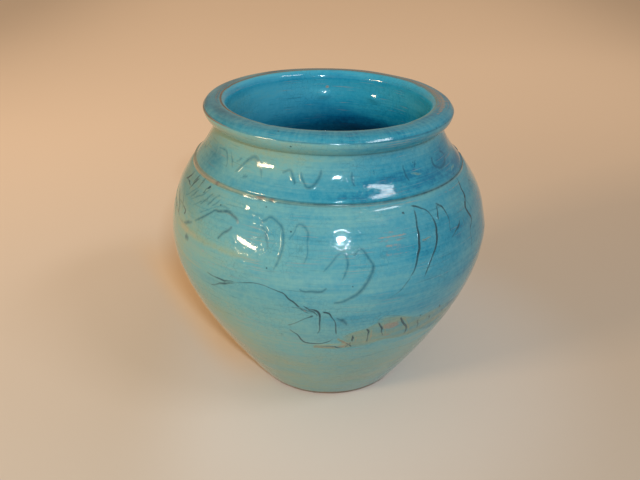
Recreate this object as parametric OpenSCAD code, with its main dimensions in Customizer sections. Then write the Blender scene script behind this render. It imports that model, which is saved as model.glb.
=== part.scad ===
// A hand-thrown vase with a turquoise glaze, built in luted sections.
// The axis of the vase is Z, and the table that it stands on is Z = 0.
// Every section is a ring turned about that axis, drawn as [radius, height] points.

/* [Vessel] */
// Height from the table to the crest of the lip
height = 186; // [178:1:215]
// Diameter of the belly at its widest line
belly_d = 200; // [186:1:230]
// Height of the widest line of the belly
belly_z = 106; // [92:1:116]
// Wall thickness of the belly and the neck, glaze included
wall = 7; // [5:0.5:9]

/* [Foot] */
// Diameter of the bare foot where it meets the table
foot_d = 95; // [84:1:110]
// Slope of the wall as it leaves the foot, in degrees from upright
foot_slope = 36; // [28:1:42]
// Length of the straight pull of the wall out of the foot
foot_pull = 40; // [30:1:48]
// Width of the foot ring's resting face
foot_ring_w = 9; // [6:0.5:14]
// Height of the foot ring
foot_ring_h = 4; // [3:0.5:7]
// Thickness of the clay floor
floor_t = 8; // [6:0.5:12]
// How far in from the foot's edge the inner floor starts to curve up
floor_inset = 17; // [12:1:24]

/* [Belly] */
// How far below its widest line the belly stays nearly upright, outside
belly_low_pull = 31; // [22:1:38]
// How far above its widest line the belly stays nearly upright, outside
belly_high_pull = 17; // [12:1:21]
// How far below its widest line the belly stays nearly upright, inside
inner_low_pull = 38; // [30:1:44]
// How far above its widest line the belly stays nearly upright, inside
inner_high_pull = 17; // [12:1:21]
// Length of the inner curve from the floor into the wall
floor_pull = 19; // [12:1:24]

/* [Shoulder] */
// Outside diameter at the shoulder seam
seam_d = 164.6; // [156:0.2:172]
// Height of the collar, from the shoulder seam to the groove under the rim
collar_h = 24.1; // [20:0.1:28]
// Slope of the wall through the shoulder seam, in degrees from upright
shoulder_slope = 41; // [33:1:47]
// Length of the sweep below the seam
shoulder_pull = 13; // [9:0.5:16]
// Length of the sweep above the seam, outside
neck_sweep = 10; // [7:0.5:12]
// Wall thickness at the seam, where the collar laps into the bowl
shoulder_wall = 12; // [9:0.5:14]
// Length of the sweep above the seam, inside
inner_sweep = 5; // [3:0.5:8]
// Width of the cordon along the wall
cordon_w = 3; // [2:0.5:5]
// How far the cordon stands proud of the glaze
cordon_h = 0.8; // [0.5:0.1:1.6]

/* [Rim] */
// Outside diameter of the neck in the groove under the rim
neck_d = 137; // [132:1:142]
// Slope of the neck where it meets the groove, in degrees from upright
neck_slope = 17; // [6:1:22]
// Length of the straight part of the neck below the groove
neck_rise = 13; // [8:0.5:15]
// Length of the neck's inner wall that stays nearly upright
inner_neck_rise = 20; // [14:1:22]
// Height of the rim from the groove to the crest of the lip
rim_h = 12.4; // [11:0.2:15]
// How far the rim stands out past the neck
rim_reach = 7.7; // [5:0.1:11]
// Drop from the crest of the lip to the outer edge of the rim
rim_drop = 4; // [3.2:0.1:5.4]
// How far in from the outside of the neck the crest of the lip lies
lip_inset = 3; // [1.5:0.5:4.5]
// Height of the rounded lip inside
lip_h = 5; // [4:0.5:6]
// Roundness of the rim's underside
under_round = 4; // [2.5:0.5:5]
// Width of the sloping face above the rim's outer edge
bevel_w = 2.4; // [1:0.2:3]
// Slope of that face, in degrees from upright
bevel_slope = 38; // [28:1:46]
// Roundness of the rim where that face turns over to the top
bevel_round = 2; // [1:0.2:3]
// Roundness of the lip's crest on the outside
crest_round = 4.4; // [3:0.2:5.6]
// Roundness of the lip's crest on the inside
lip_round = 2; // [1:0.2:3]

/* [Glaze] */
// Thickness of the glaze
glaze_t = 0.6; // [0.4:0.1:0.9]
// Width of the bare clay line along the lip, the rim's edge and the foot
bare_w = 1.2; // [0.6:0.1:2]

/* [Seams] */
// Thickness of the clay slip that lutes two sections together
slip_t = 0.8; // [0.5:0.1:1.2]
// Length of the lap joint in the shoulder
shoulder_lap = 5; // [3:0.5:7]
// Length of the lap joint under the rim
rim_lap = 4.5; // [3:0.5:6]

/* [Hidden] */
$fn = 128;

// Colours of the fired clay, the slip in the seams and the glaze
clay_colour = "#b98f72";
worn_colour = "#a8836b";
slip_colour = "#c9a88c";
glaze_colour = "#4fa3b5";
pooled_colour = "#2f86a8";
lining_colour = "#2b7791";

// Straight pieces in each curve of the outline
long_steps = 24;
short_steps = 12;
tight_steps = 8;

// Heights that follow from the driving sizes
base_z = foot_ring_h + slip_t;
floor_z = base_z + floor_t + glaze_t;
neck_z = height - rim_h;
seam_z = neck_z - collar_h;

// Directions of the wall, going up
foot_way = [sin(foot_slope), cos(foot_slope)];
shoulder_way = [-sin(shoulder_slope), cos(shoulder_slope)];
neck_way = [-sin(neck_slope), cos(neck_slope)];
bevel_way = [-sin(bevel_slope), cos(bevel_slope)];
upward = [0, 1];
outward = [1, 0];

// Corners of the outline, outside from the foot to the lip and then inside to the floor
foot_point = [foot_d / 2, 0];
belly_point = [belly_d / 2, belly_z];
seam_point = [seam_d / 2, seam_z];
neck_point = [neck_d / 2, neck_z];
edge_point = [neck_d / 2 + rim_reach, height - rim_drop];
bevel_point = edge_point + bevel_w * bevel_way;
lip_point = [neck_d / 2 - lip_inset, height];
throat_point = [neck_d / 2 - wall, height - lip_h];
inner_neck_point = [neck_d / 2 - wall, neck_z];
inner_seam_point = seam_point - shoulder_wall * [shoulder_way[1], -shoulder_way[0]];
inner_belly_point = [belly_d / 2 - wall, belly_z];
floor_point = [foot_d / 2 - floor_inset, floor_z];

// A cubic curve from a to d, which leaves a towards b and reaches d from c
function curve(a, b, c, d, steps) = [
    for (i = [0 : steps])
        let (t = i / steps, s = 1 - t)
            s * s * s * a + 3 * s * s * t * b + 3 * s * t * t * c + t * t * t * d
];

// A list without its first item
function tail(list) = [for (i = [1 : 1 : len(list) - 1]) list[i]];

// A list in the opposite order
function backwards(list) = [for (i = [len(list) - 1 : -1 : 0]) list[i]];

// The finished surface, as one line from the foot over the lip to the middle of the floor
skin = concat(
    curve(foot_point, foot_point + foot_pull * foot_way,
        belly_point - belly_low_pull * upward, belly_point, long_steps),
    tail(curve(belly_point, belly_point + belly_high_pull * upward,
        seam_point - shoulder_pull * shoulder_way, seam_point, short_steps)),
    tail(curve(seam_point, seam_point + neck_sweep * shoulder_way,
        neck_point - neck_rise * neck_way, neck_point, short_steps)),
    tail(curve(neck_point, neck_point + under_round * outward,
        edge_point - under_round * upward, edge_point, tight_steps)),
    curve(bevel_point, bevel_point + bevel_round * bevel_way,
        lip_point + crest_round * outward, lip_point, tight_steps),
    tail(curve(lip_point, lip_point - lip_round * outward,
        throat_point + lip_round * upward, throat_point, tight_steps)),
    [inner_neck_point],
    tail(curve(inner_neck_point, inner_neck_point - inner_neck_rise * upward,
        inner_seam_point + inner_sweep * shoulder_way, inner_seam_point, short_steps)),
    tail(curve(inner_seam_point, inner_seam_point - shoulder_pull * shoulder_way,
        inner_belly_point + inner_high_pull * upward, inner_belly_point, short_steps)),
    tail(curve(inner_belly_point, inner_belly_point - inner_low_pull * upward,
        floor_point + floor_pull * outward, floor_point, long_steps)),
    [[0, floor_z]]
);

// Places along that line, as the number of the point
at_belly = long_steps;
at_seam = at_belly + short_steps;
at_neck = at_seam + short_steps;
at_edge = at_neck + tight_steps;
at_bevel = at_edge + 1;
at_lip = at_bevel + tight_steps;
at_throat = at_lip + tight_steps;
at_end = len(skin) - 1;

// The direction out of the clay, square to the piece of line that starts at point i
function facing(line, i) =
    let (step = line[i + 1] - line[i])
        [step[1], -step[0]] / norm(step);

// A line set back into the clay by a depth that is the same all along it
function set_back(line, depth) = [
    for (i = [0 : len(line) - 1])
        let (
            before = facing(line, max(i - 1, 0)),
            after = facing(line, min(i, len(line) - 2))
        )
            line[i] - depth * (before + after) / (1 + before * after)
];

// The clay under the glaze
clay = set_back(skin, glaze_t);

// The point at place u of a line, where u may lie between two points
function spot(line, u) =
    let (i = min(floor(u), len(line) - 2))
        line[i] + (u - i) * (line[i + 1] - line[i]);

// The stretch of a line between places u and v
function stretch(line, u, v) = concat(
    [spot(line, u)],
    [for (i = [floor(u) + 1 : 1 : ceil(v) - 1]) line[i]],
    [spot(line, v)]
);

// The place that lies a length ahead of point i along a line
function ahead(line, i, length) =
    let (step = norm(line[i + 1] - line[i]))
        length <= step ? i + length / step : ahead(line, i + 1, length - step);

// The place that lies a length behind point i along a line
function behind(line, i, length) =
    let (step = norm(line[i] - line[i - 1]))
        length <= step ? i - length / step : behind(line, i - 1, length - step);

// The first place from point i on at which a line crosses height z
function crossing(line, i, z) =
    (line[i][1] - z) * (line[i + 1][1] - z) <= 0
        ? i + (z - line[i][1]) / (line[i + 1][1] - line[i][1])
        : crossing(line, i + 1, z);

// The inner surface of the clay at a height, as a place on the line
function inside_at(z) = crossing(clay, at_throat, z);

// The middle of the wall at a height in the shoulder or the neck
function wall_middle(z) =
    (spot(clay, crossing(clay, at_belly, z))[0] + spot(clay, inside_at(z))[0]) / 2;

// Places where the glaze stops and the clay is bare
foot_line = crossing(skin, 0, bare_w);
cordon_foot = behind(skin, at_seam, cordon_w / 2);
cordon_top = ahead(skin, at_seam, cordon_w / 2);
edge_below = behind(skin, at_edge, bare_w / 2);
edge_above = ahead(skin, at_edge, bare_w / 2);
lip_outside = behind(skin, at_lip, bare_w / 2);
lip_inside = ahead(skin, at_lip, bare_w / 2);

// Heights of the shoulder joint: its outer step, and the lap inside the wall below it
shoulder_step_z = clay[at_seam][1];
shoulder_lap_z = shoulder_step_z - shoulder_lap;
// The slip fills the sloping lap to its full thickness
lap_gap = slip_t / cos(shoulder_slope);

// Heights of the rim joint: its outer step, and the lap inside the rim above it
rim_step_z = clay[at_neck][1];
rim_lap_z = rim_step_z + rim_lap;
rim_joint_r = wall_middle(rim_step_z - slip_t);

// The stepped joint faces, each from the outside of the wall to the inside
body_joint = [
    clay[at_seam],
    [wall_middle(shoulder_step_z), shoulder_step_z],
    [wall_middle(shoulder_lap_z), shoulder_lap_z],
    spot(clay, inside_at(shoulder_lap_z))
];
collar_low_joint = [
    spot(clay, crossing(clay, at_seam, shoulder_step_z + slip_t)),
    [wall_middle(shoulder_step_z + slip_t) - lap_gap, shoulder_step_z + slip_t],
    [wall_middle(shoulder_lap_z + slip_t) - lap_gap, shoulder_lap_z + slip_t],
    spot(clay, inside_at(shoulder_lap_z + slip_t))
];
collar_high_joint = [
    spot(clay, crossing(clay, at_seam, rim_step_z - slip_t)),
    [rim_joint_r, rim_step_z - slip_t],
    [rim_joint_r, rim_lap_z - slip_t],
    spot(clay, inside_at(rim_lap_z - slip_t))
];
rim_joint = [
    clay[at_neck],
    [rim_joint_r + slip_t, rim_step_z],
    [rim_joint_r + slip_t, rim_lap_z],
    spot(clay, inside_at(rim_lap_z))
];

// Inner radius of the foot ring
foot_ring_r = foot_d / 2 - foot_ring_w;

// A solid ring turned from a section
module turned(section) {
    rotate_extrude() polygon(section);
}

// A coat of glaze between two places of the outline
module glaze_coat(u, v) {
    turned(concat(stretch(skin, u, v), backwards(stretch(clay, u, v))));
}

// The thrown bowl: floor, belly and lower shoulder
module thrown_body() {
    color(clay_colour) turned(concat(
        [[0, base_z]],
        stretch(clay, crossing(clay, 0, base_z), at_seam),
        tail(body_joint),
        tail(stretch(clay, inside_at(shoulder_lap_z), at_end))
    ));
}

// The upper shoulder and neck, lapped into the bowl
module shoulder_collar() {
    color(clay_colour) turned(concat(
        stretch(clay, crossing(clay, at_seam, shoulder_step_z + slip_t),
            crossing(clay, at_seam, rim_step_z - slip_t)),
        tail(collar_high_joint),
        tail(stretch(clay, inside_at(rim_lap_z - slip_t), inside_at(shoulder_lap_z + slip_t))),
        tail(backwards(collar_low_joint))
    ));
}

// The thick coil that makes the rim, flush with the glaze along its two bare lines
module rolled_rim() {
    color(clay_colour) turned(concat(
        stretch(clay, at_neck, edge_below),
        stretch(skin, edge_below, edge_above),
        stretch(clay, edge_above, lip_outside),
        stretch(skin, lip_outside, lip_inside),
        stretch(clay, lip_inside, inside_at(rim_lap_z)),
        tail(backwards(tail(rim_joint)))
    ));
}

// The raised line of clay pressed over the shoulder seam
module shoulder_cordon() {
    low = spot(skin, cordon_foot);
    high = spot(skin, cordon_top);
    // A cubic curve with both handles pulled out alike rises to three quarters of the pull
    pull = cordon_h / 0.75 * [shoulder_way[1], -shoulder_way[0]];
    color(worn_colour) turned(concat(
        curve(low, low + pull, high + pull, high, tight_steps),
        backwards(stretch(clay, cordon_foot, cordon_top))
    ));
}

// The turned ring that the vase stands on, bare below the glaze
module foot_ring() {
    color(worn_colour) turned(concat(
        [[foot_ring_r, 0]],
        stretch(skin, 0, foot_line),
        stretch(clay, foot_line, crossing(clay, 0, foot_ring_h)),
        [[foot_ring_r, foot_ring_h]]
    ));
}

// The slip that holds the foot ring under the floor
module foot_slip_seam() {
    color(slip_colour) turned(concat(
        [[foot_ring_r, foot_ring_h]],
        stretch(clay, crossing(clay, 0, foot_ring_h), crossing(clay, 0, base_z)),
        [[foot_ring_r, base_z]]
    ));
}

// The slip in the lap between the bowl and the collar
module shoulder_slip_seam() {
    color(slip_colour) turned(concat(body_joint, backwards(collar_low_joint)));
}

// The slip in the lap between the collar and the rim
module rim_slip_seam() {
    color(slip_colour) turned(concat(collar_high_joint, backwards(rim_joint)));
}

// Glaze from the bare foot line up to the cordon
module body_glaze() {
    color(glaze_colour) glaze_coat(foot_line, cordon_foot);
}

// Glaze from the cordon up the neck and under the rim
module shoulder_glaze() {
    color(pooled_colour) glaze_coat(cordon_top, edge_below);
}

// Glaze on top of the rim, between its two bare lines
module rim_glaze() {
    color(pooled_colour) glaze_coat(edge_above, lip_outside);
}

// Glaze from the lip down the inside and over the floor
module lining_glaze() {
    color(lining_colour) glaze_coat(lip_inside, at_end);
}

thrown_body();
shoulder_collar();
rolled_rim();
shoulder_cordon();
foot_ring();
foot_slip_seam();
shoulder_slip_seam();
rim_slip_seam();
body_glaze();
shoulder_glaze();
rim_glaze();
lining_glaze();
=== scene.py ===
"""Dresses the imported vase: thrown clay sections, a glaze that pools and thins, and lines cut into it."""
import logging
import math
from dataclasses import dataclass, replace
from enum import Enum
from typing import Any, Callable, Dict, List, Optional, Sequence, Tuple, Union

import bpy
import numpy as np
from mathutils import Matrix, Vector


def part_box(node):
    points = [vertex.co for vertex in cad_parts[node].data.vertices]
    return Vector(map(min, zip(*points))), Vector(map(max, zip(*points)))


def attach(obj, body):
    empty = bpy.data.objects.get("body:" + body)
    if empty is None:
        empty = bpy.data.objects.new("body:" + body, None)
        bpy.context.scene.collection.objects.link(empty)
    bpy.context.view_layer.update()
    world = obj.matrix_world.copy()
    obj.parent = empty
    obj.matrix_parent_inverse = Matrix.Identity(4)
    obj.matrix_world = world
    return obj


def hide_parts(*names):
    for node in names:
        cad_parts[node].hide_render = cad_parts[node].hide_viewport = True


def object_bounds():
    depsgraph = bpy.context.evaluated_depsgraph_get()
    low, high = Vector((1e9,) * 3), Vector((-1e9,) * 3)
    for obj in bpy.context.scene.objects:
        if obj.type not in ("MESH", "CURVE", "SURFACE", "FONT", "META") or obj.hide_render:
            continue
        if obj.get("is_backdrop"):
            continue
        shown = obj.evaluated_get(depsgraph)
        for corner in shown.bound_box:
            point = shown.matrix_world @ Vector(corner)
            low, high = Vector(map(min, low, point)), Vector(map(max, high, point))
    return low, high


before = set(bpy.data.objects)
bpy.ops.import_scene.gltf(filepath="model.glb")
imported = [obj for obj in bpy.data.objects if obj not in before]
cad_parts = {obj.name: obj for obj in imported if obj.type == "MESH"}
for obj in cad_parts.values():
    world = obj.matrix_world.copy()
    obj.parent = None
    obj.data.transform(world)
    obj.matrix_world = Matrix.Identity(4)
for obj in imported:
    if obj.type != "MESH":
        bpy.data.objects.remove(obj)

CAD_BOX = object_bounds()
Array = np.ndarray
Colour = Tuple[float, float, float]
Span = Tuple[float, float]
Row = Tuple[float, ...]
Stops = Tuple[Tuple[float, Colour], ...]
Place = Callable[[Array], Array]
Section = Callable[[Array], Tuple[Array, Array]]
Socket = bpy.types.NodeSocket
Material = bpy.types.Material
MM = 0.001
DEG = math.pi / 180.0
TAU = 2.0 * math.pi
BODY = "root"

log = logging.getLogger("vase")


class Slot(Enum):
    """The record's material slots."""

    CLAY = "clay"
    WORN_CLAY = "worn_clay"
    SLIP = "slip"
    TURQUOISE = "turquoise_glaze"
    POOLED = "pooled_glaze"
    LINING = "lining_glaze"


class Tool(Enum):
    """What made a line in the glaze."""

    POINT = "point"
    BLUNT = "blunt"
    SCRAPER = "scraper"
    # pale lines beside cuts: raised burrs coloured as painted highlights
    EDGE = "edge"


# Small functions of whole arrays


def smooth(low: float, high: float, x: Array) -> Array:
    """A ramp from 0 at low to 1 at high with level ends: 3t^2 - 2t^3."""
    t = np.clip((x - low) / (high - low), 0.0, 1.0)
    return t * t * (3.0 - 2.0 * t)


def hill(x: Array, middle: float, spread: float) -> Array:
    """A bell that is 1 at the middle: exp(-((x - middle) / spread)^2)."""
    return np.exp(-(((x - middle) / spread) ** 2))


def apart(turn: Array, middle: float) -> Array:
    """The signed angle from a turn in degrees, wrapped to half a turn either way, in degrees."""
    return (np.degrees(turn) - middle + 180.0) % 360.0 - 180.0


def turn_bell(turn: Array, middle: float, wide: float) -> Array:
    """A bell round one turn, both in degrees."""
    return hill(apart(turn, middle), 0.0, wide)


def bezier(a: Array, b: Array, c: Array, d: Array, steps: int = 80) -> Array:
    """A cubic curve from a to d that leaves a towards b and reaches d from c.

    Args:
        a, b, c, d: points of the section, as (radius, height)
        steps: straight pieces

    Returns:
        The points of the curve, the last one left out
    """
    t = np.linspace(0.0, 1.0, steps, endpoint=False)[:, None]
    s = 1.0 - t
    return s**3 * a + 3 * s * s * t * b + 3 * s * t * t * c + t**3 * d


@dataclass(frozen=True)
class Ramp:
    """A value that changes by a gain, smoothly, from a low place to a high one."""

    start: float
    gain: float
    low: float
    high: float

    def __call__(self, x: Array) -> Array:
        """The value at each place."""
        return self.start + self.gain * smooth(self.low, self.high, x)


@dataclass(frozen=True)
class Waver:
    """An uneven line round the vase: cosines of whole numbers of waves in a turn, added up."""

    size: float
    fewest: int
    most: int
    seed: int
    count: int = 8

    def __call__(self, turn: Array) -> Array:
        """The line's offset.

        Args:
            turn: angles

        Returns:
            Offsets between minus size and size
        """
        rng = np.random.default_rng(self.seed)
        waves = rng.integers(self.fewest, self.most + 1, self.count)
        phase = rng.uniform(0.0, TAU, self.count)
        weight = rng.uniform(0.5, 1.0, self.count)
        total = np.cos(turn[..., None] * waves + phase) @ weight
        return self.size * total / weight.sum()


@dataclass(frozen=True)
class Cloud:
    """Soft unevenness over a surface: cosines that run round the vase and along its outline."""

    shortest: float
    longest: float
    most_waves: int
    seed: int
    count: int = 16

    def __call__(self, turn: Array, along: Array) -> Array:
        """The unevenness, as a sum of cosines.

        Args:
            turn, along: angles, and places on the outline

        Returns:
            Values of about -1 to 1
        """
        rng = np.random.default_rng(self.seed)
        waves = rng.integers(-self.most_waves, self.most_waves + 1, self.count)
        length = rng.uniform(self.shortest, self.longest, self.count)
        phase = rng.uniform(0.0, TAU, self.count)
        total = np.zeros(np.broadcast(turn, along).shape)
        for k in range(self.count):
            total += np.cos(waves[k] * turn + TAU * along / length[k] + phase[k])
        return total / math.sqrt(self.count)


# The shape


@dataclass
class Outline:
    """The finished surface as one line from the foot over the lip to the middle of the floor.

    Sizes are in metres. The line is a chain of cubic curves, made smooth at its corners as
    wet fingers leave them, and measured by its length from the foot.
    """

    height: float
    belly_r: float
    edge_r: float
    foot_r: float = 0.0475
    foot_slope: float = 36.0
    foot_pull: float = 0.040
    belly_z: float = 0.106
    belly_low_pull: float = 0.031
    belly_high_pull: float = 0.017
    seam_r: float = 0.0823
    collar_h: float = 0.0241
    shoulder_slope: float = 41.0
    shoulder_pull: float = 0.013
    neck_sweep: float = 0.010
    neck_slope: float = 17.0
    neck_rise: float = 0.013
    rim_reach: float = 0.0077
    rim_h: float = 0.0124
    rim_drop: float = 0.004
    under_round: float = 0.004
    bevel_w: float = 0.0024
    bevel_slope: float = 38.0
    bevel_round: float = 0.002
    crest_round: float = 0.0044
    lip_round: float = 0.002
    lip_inset: float = 0.003
    lip_h: float = 0.005
    wall: float = 0.007
    shoulder_wall: float = 0.012
    inner_sweep: float = 0.005
    inner_neck_rise: float = 0.020
    inner_high_pull: float = 0.017
    inner_low_pull: float = 0.038
    floor_pull: float = 0.019
    floor_inset: float = 0.017
    foot_ring_h: float = 0.004
    foot_ring_w: float = 0.009
    slip_t: float = 0.0008
    floor_t: float = 0.008
    glaze_t: float = 0.0006
    bare_w: float = 0.0012
    cordon_w: float = 0.003
    spacing: float = 0.0001
    softness: float = 0.0004

    def __post_init__(self) -> None:
        """Works out the line, its places and its directions."""
        point = lambda r, z: np.array([r, z])
        neck_r = self.edge_r - self.rim_reach
        neck_z = self.height - self.rim_h
        self.base_z = self.foot_ring_h + self.slip_t
        self.floor_z = self.base_z + self.floor_t + self.glaze_t
        foot = point(self.foot_r, 0.0)
        belly = point(self.belly_r, self.belly_z)
        up, out = point(0.0, 1.0), point(1.0, 0.0)
        slant = lambda deg: point(math.sin(deg * DEG), math.cos(deg * DEG))
        foot_way = slant(self.foot_slope)
        shoulder_way = slant(-self.shoulder_slope)
        neck_way = slant(-self.neck_slope)
        bevel_way = slant(-self.bevel_slope)
        seam = point(self.seam_r, neck_z - self.collar_h)
        neck = point(neck_r, neck_z)
        edge = point(self.edge_r, self.height - self.rim_drop)
        bevel = edge + self.bevel_w * bevel_way
        lip = point(neck_r - self.lip_inset, self.height)
        throat = point(neck_r - self.wall, self.height - self.lip_h)
        inner_neck = point(neck_r - self.wall, neck_z)
        inner_seam = seam - self.shoulder_wall * point(shoulder_way[1], -shoulder_way[0])
        inner_belly = point(self.belly_r - self.wall, self.belly_z)
        floor = point(self.foot_r - self.floor_inset, self.floor_z)
        pieces = [
            bezier(foot, foot + self.foot_pull * foot_way, belly - self.belly_low_pull * up, belly),
            bezier(belly, belly + self.belly_high_pull * up, seam - self.shoulder_pull * shoulder_way, seam),
            bezier(seam, seam + self.neck_sweep * shoulder_way, neck - self.neck_rise * neck_way, neck),
            bezier(neck, neck + self.under_round * out, edge - self.under_round * up, edge),
            bezier(edge, edge, bevel, bevel),
            bezier(bevel, bevel + self.bevel_round * bevel_way, lip + self.crest_round * out, lip),
            bezier(lip, lip - self.lip_round * out, throat + self.lip_round * up, throat),
            bezier(throat, throat, inner_neck, inner_neck),
            bezier(inner_neck, inner_neck - self.inner_neck_rise * up,
                   inner_seam + self.inner_sweep * shoulder_way, inner_seam),
            bezier(inner_seam, inner_seam - self.shoulder_pull * shoulder_way,
                   inner_belly + self.inner_high_pull * up, inner_belly),
            bezier(inner_belly, inner_belly - self.inner_low_pull * up,
                   floor + self.floor_pull * out, floor),
            np.array([floor, [0.0, self.floor_z]]),
        ]
        line = np.concatenate(pieces)
        reach = np.concatenate([[0.0], np.cumsum(np.linalg.norm(np.diff(line, axis=0), axis=1))])
        starts = np.cumsum([0] + [len(piece) for piece in pieces[:-1]])
        names = ["foot", "belly", "seam", "neck", "edge", "bevel", "lip", "throat",
                 "inner_neck", "inner_seam", "inner_belly", "floor"]
        self.place: Dict[str, float] = {name: float(reach[i]) for name, i in zip(names, starts)}
        self.length = float(reach[-1])
        self.steps = np.linspace(0.0, self.length, int(self.length / self.spacing))
        self.line = self._softened(np.stack([np.interp(self.steps, reach, line[:, k]) for k in (0, 1)], 1))
        way = np.gradient(self.line, axis=0)
        way /= np.linalg.norm(way, axis=1, keepdims=True)
        self.facing = np.stack([way[:, 1], -way[:, 0]], 1)

    def _softened(self, line: Array) -> Array:
        """Each point becomes the bell-weighted mean of its neighbours; the ends stay, as the line
        is carried on past them turned half round.

        Args:
            line: evenly spaced points

        Returns:
            The points with corners rounded over the softness
        """
        half = int(4 * self.softness / self.spacing)
        bell = hill(np.arange(-half, half + 1) * self.spacing, 0.0, self.softness * 1.4)
        bell /= bell.sum()
        before = 2 * line[0] - line[half:0:-1]
        after = 2 * line[-1] - line[-2:-half - 2:-1]
        long = np.concatenate([before, line, after])
        return np.stack([np.convolve(long[:, k], bell, mode="valid") for k in (0, 1)], 1)

    def at(self, along: Array, depth: Union[Array, float] = 0.0) -> Array:
        """Points of the section at a length along the line, set back into the clay by a depth.

        Args:
            along: lengths from the foot
            depth: distance into the clay, square to the line; less than 0 stands proud

        Returns:
            (radius, height) in the last axis
        """
        pick = lambda table: np.stack([np.interp(along, self.steps, table[:, k]) for k in (0, 1)], -1)
        moved = pick(self.line) - np.asarray(depth)[..., None] * pick(self.facing)
        moved[..., 0] = np.maximum(moved[..., 0], 0.0)
        return moved

    def outside_at(self, z: Union[Array, float]) -> Array:
        """The place on the outside, below the rim's edge, at each height."""
        out = self.steps < self.place["edge"]
        return np.interp(z, self.line[out, 1], self.steps[out])

    def clay_r(self, z: float, first: str, last: str) -> Tuple[float, float]:
        """Where the clay under the glaze crosses a height between two named places.

        Args:
            z: the height
            first, last: names of places on the line, in order

        Returns:
            The length along the line, and the radius
        """
        span = np.linspace(self.place[first], self.place[last], 900)
        points = self.at(span, self.glaze_t)
        best = int(np.argmin(np.abs(points[:, 1] - z)))
        return float(span[best]), float(points[best, 0])


@dataclass(frozen=True)
class Chip:
    """A dent knocked out of an edge: a bell round one point, pushed into the clay."""

    turn: float
    place: str
    wide: float
    size: float
    depth: float


@dataclass(frozen=True)
class Ridge:
    """A wheel line that stands up over part of a turn: a bell in height, faded at both ends."""

    height: float
    wide: float
    first: float
    last: float
    fade: float = 6.0

    def __call__(self, turn: Array, z: Array) -> Array:
        """1 on the crest, 0 away from it: the bell in height times the fade at each end."""
        fade = lambda middle: smooth(middle - self.fade, middle + self.fade, apart(turn, 0.0))
        return hill(z, self.height, self.wide) * fade(self.first) * (1.0 - fade(self.last))


FLANK_RIDGE = Ridge(0.1212, 0.0018, -64.0, -25.0)


@dataclass(frozen=True)
class Patch:
    """A soft patch on the wall: its size times a bell over turn, in degrees, and a bell over height."""

    turn: float
    height: float
    wide: float
    tall: float
    size: float

    def __call__(self, turn: Array, z: Array) -> Array:
        """The patch's effect at each place."""
        return self.size * turn_bell(turn, self.turn, self.wide) * hill(z, self.height, self.tall)


@dataclass(frozen=True)
class Band:
    """A line round the vase beside a named place: its size times a bell across it, in millimetres.

    The size changes towards the left, where edges are rubbed. A line with a spread fades away
    from one turn, both in degrees.
    """

    place: str
    offset: float
    wide: float
    size: float
    left_size: float = 0.0
    turn: float = 0.0
    spread: float = math.inf

    def __call__(self, turn: Array, along: Array, left: Array, middle: float) -> Array:
        """The line's effect at each place.

        Args:
            turn, along: angles, and places on the outline
            left: 1 on the rubbed left, 0 on the right
            middle: where the named place lies on the outline

        Returns:
            The effect, largest on the line
        """
        across = hill(along, middle + self.offset * MM, self.wide * MM)
        return (self.size + self.left_size * left) * across * turn_bell(turn, self.turn, self.spread)


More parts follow.
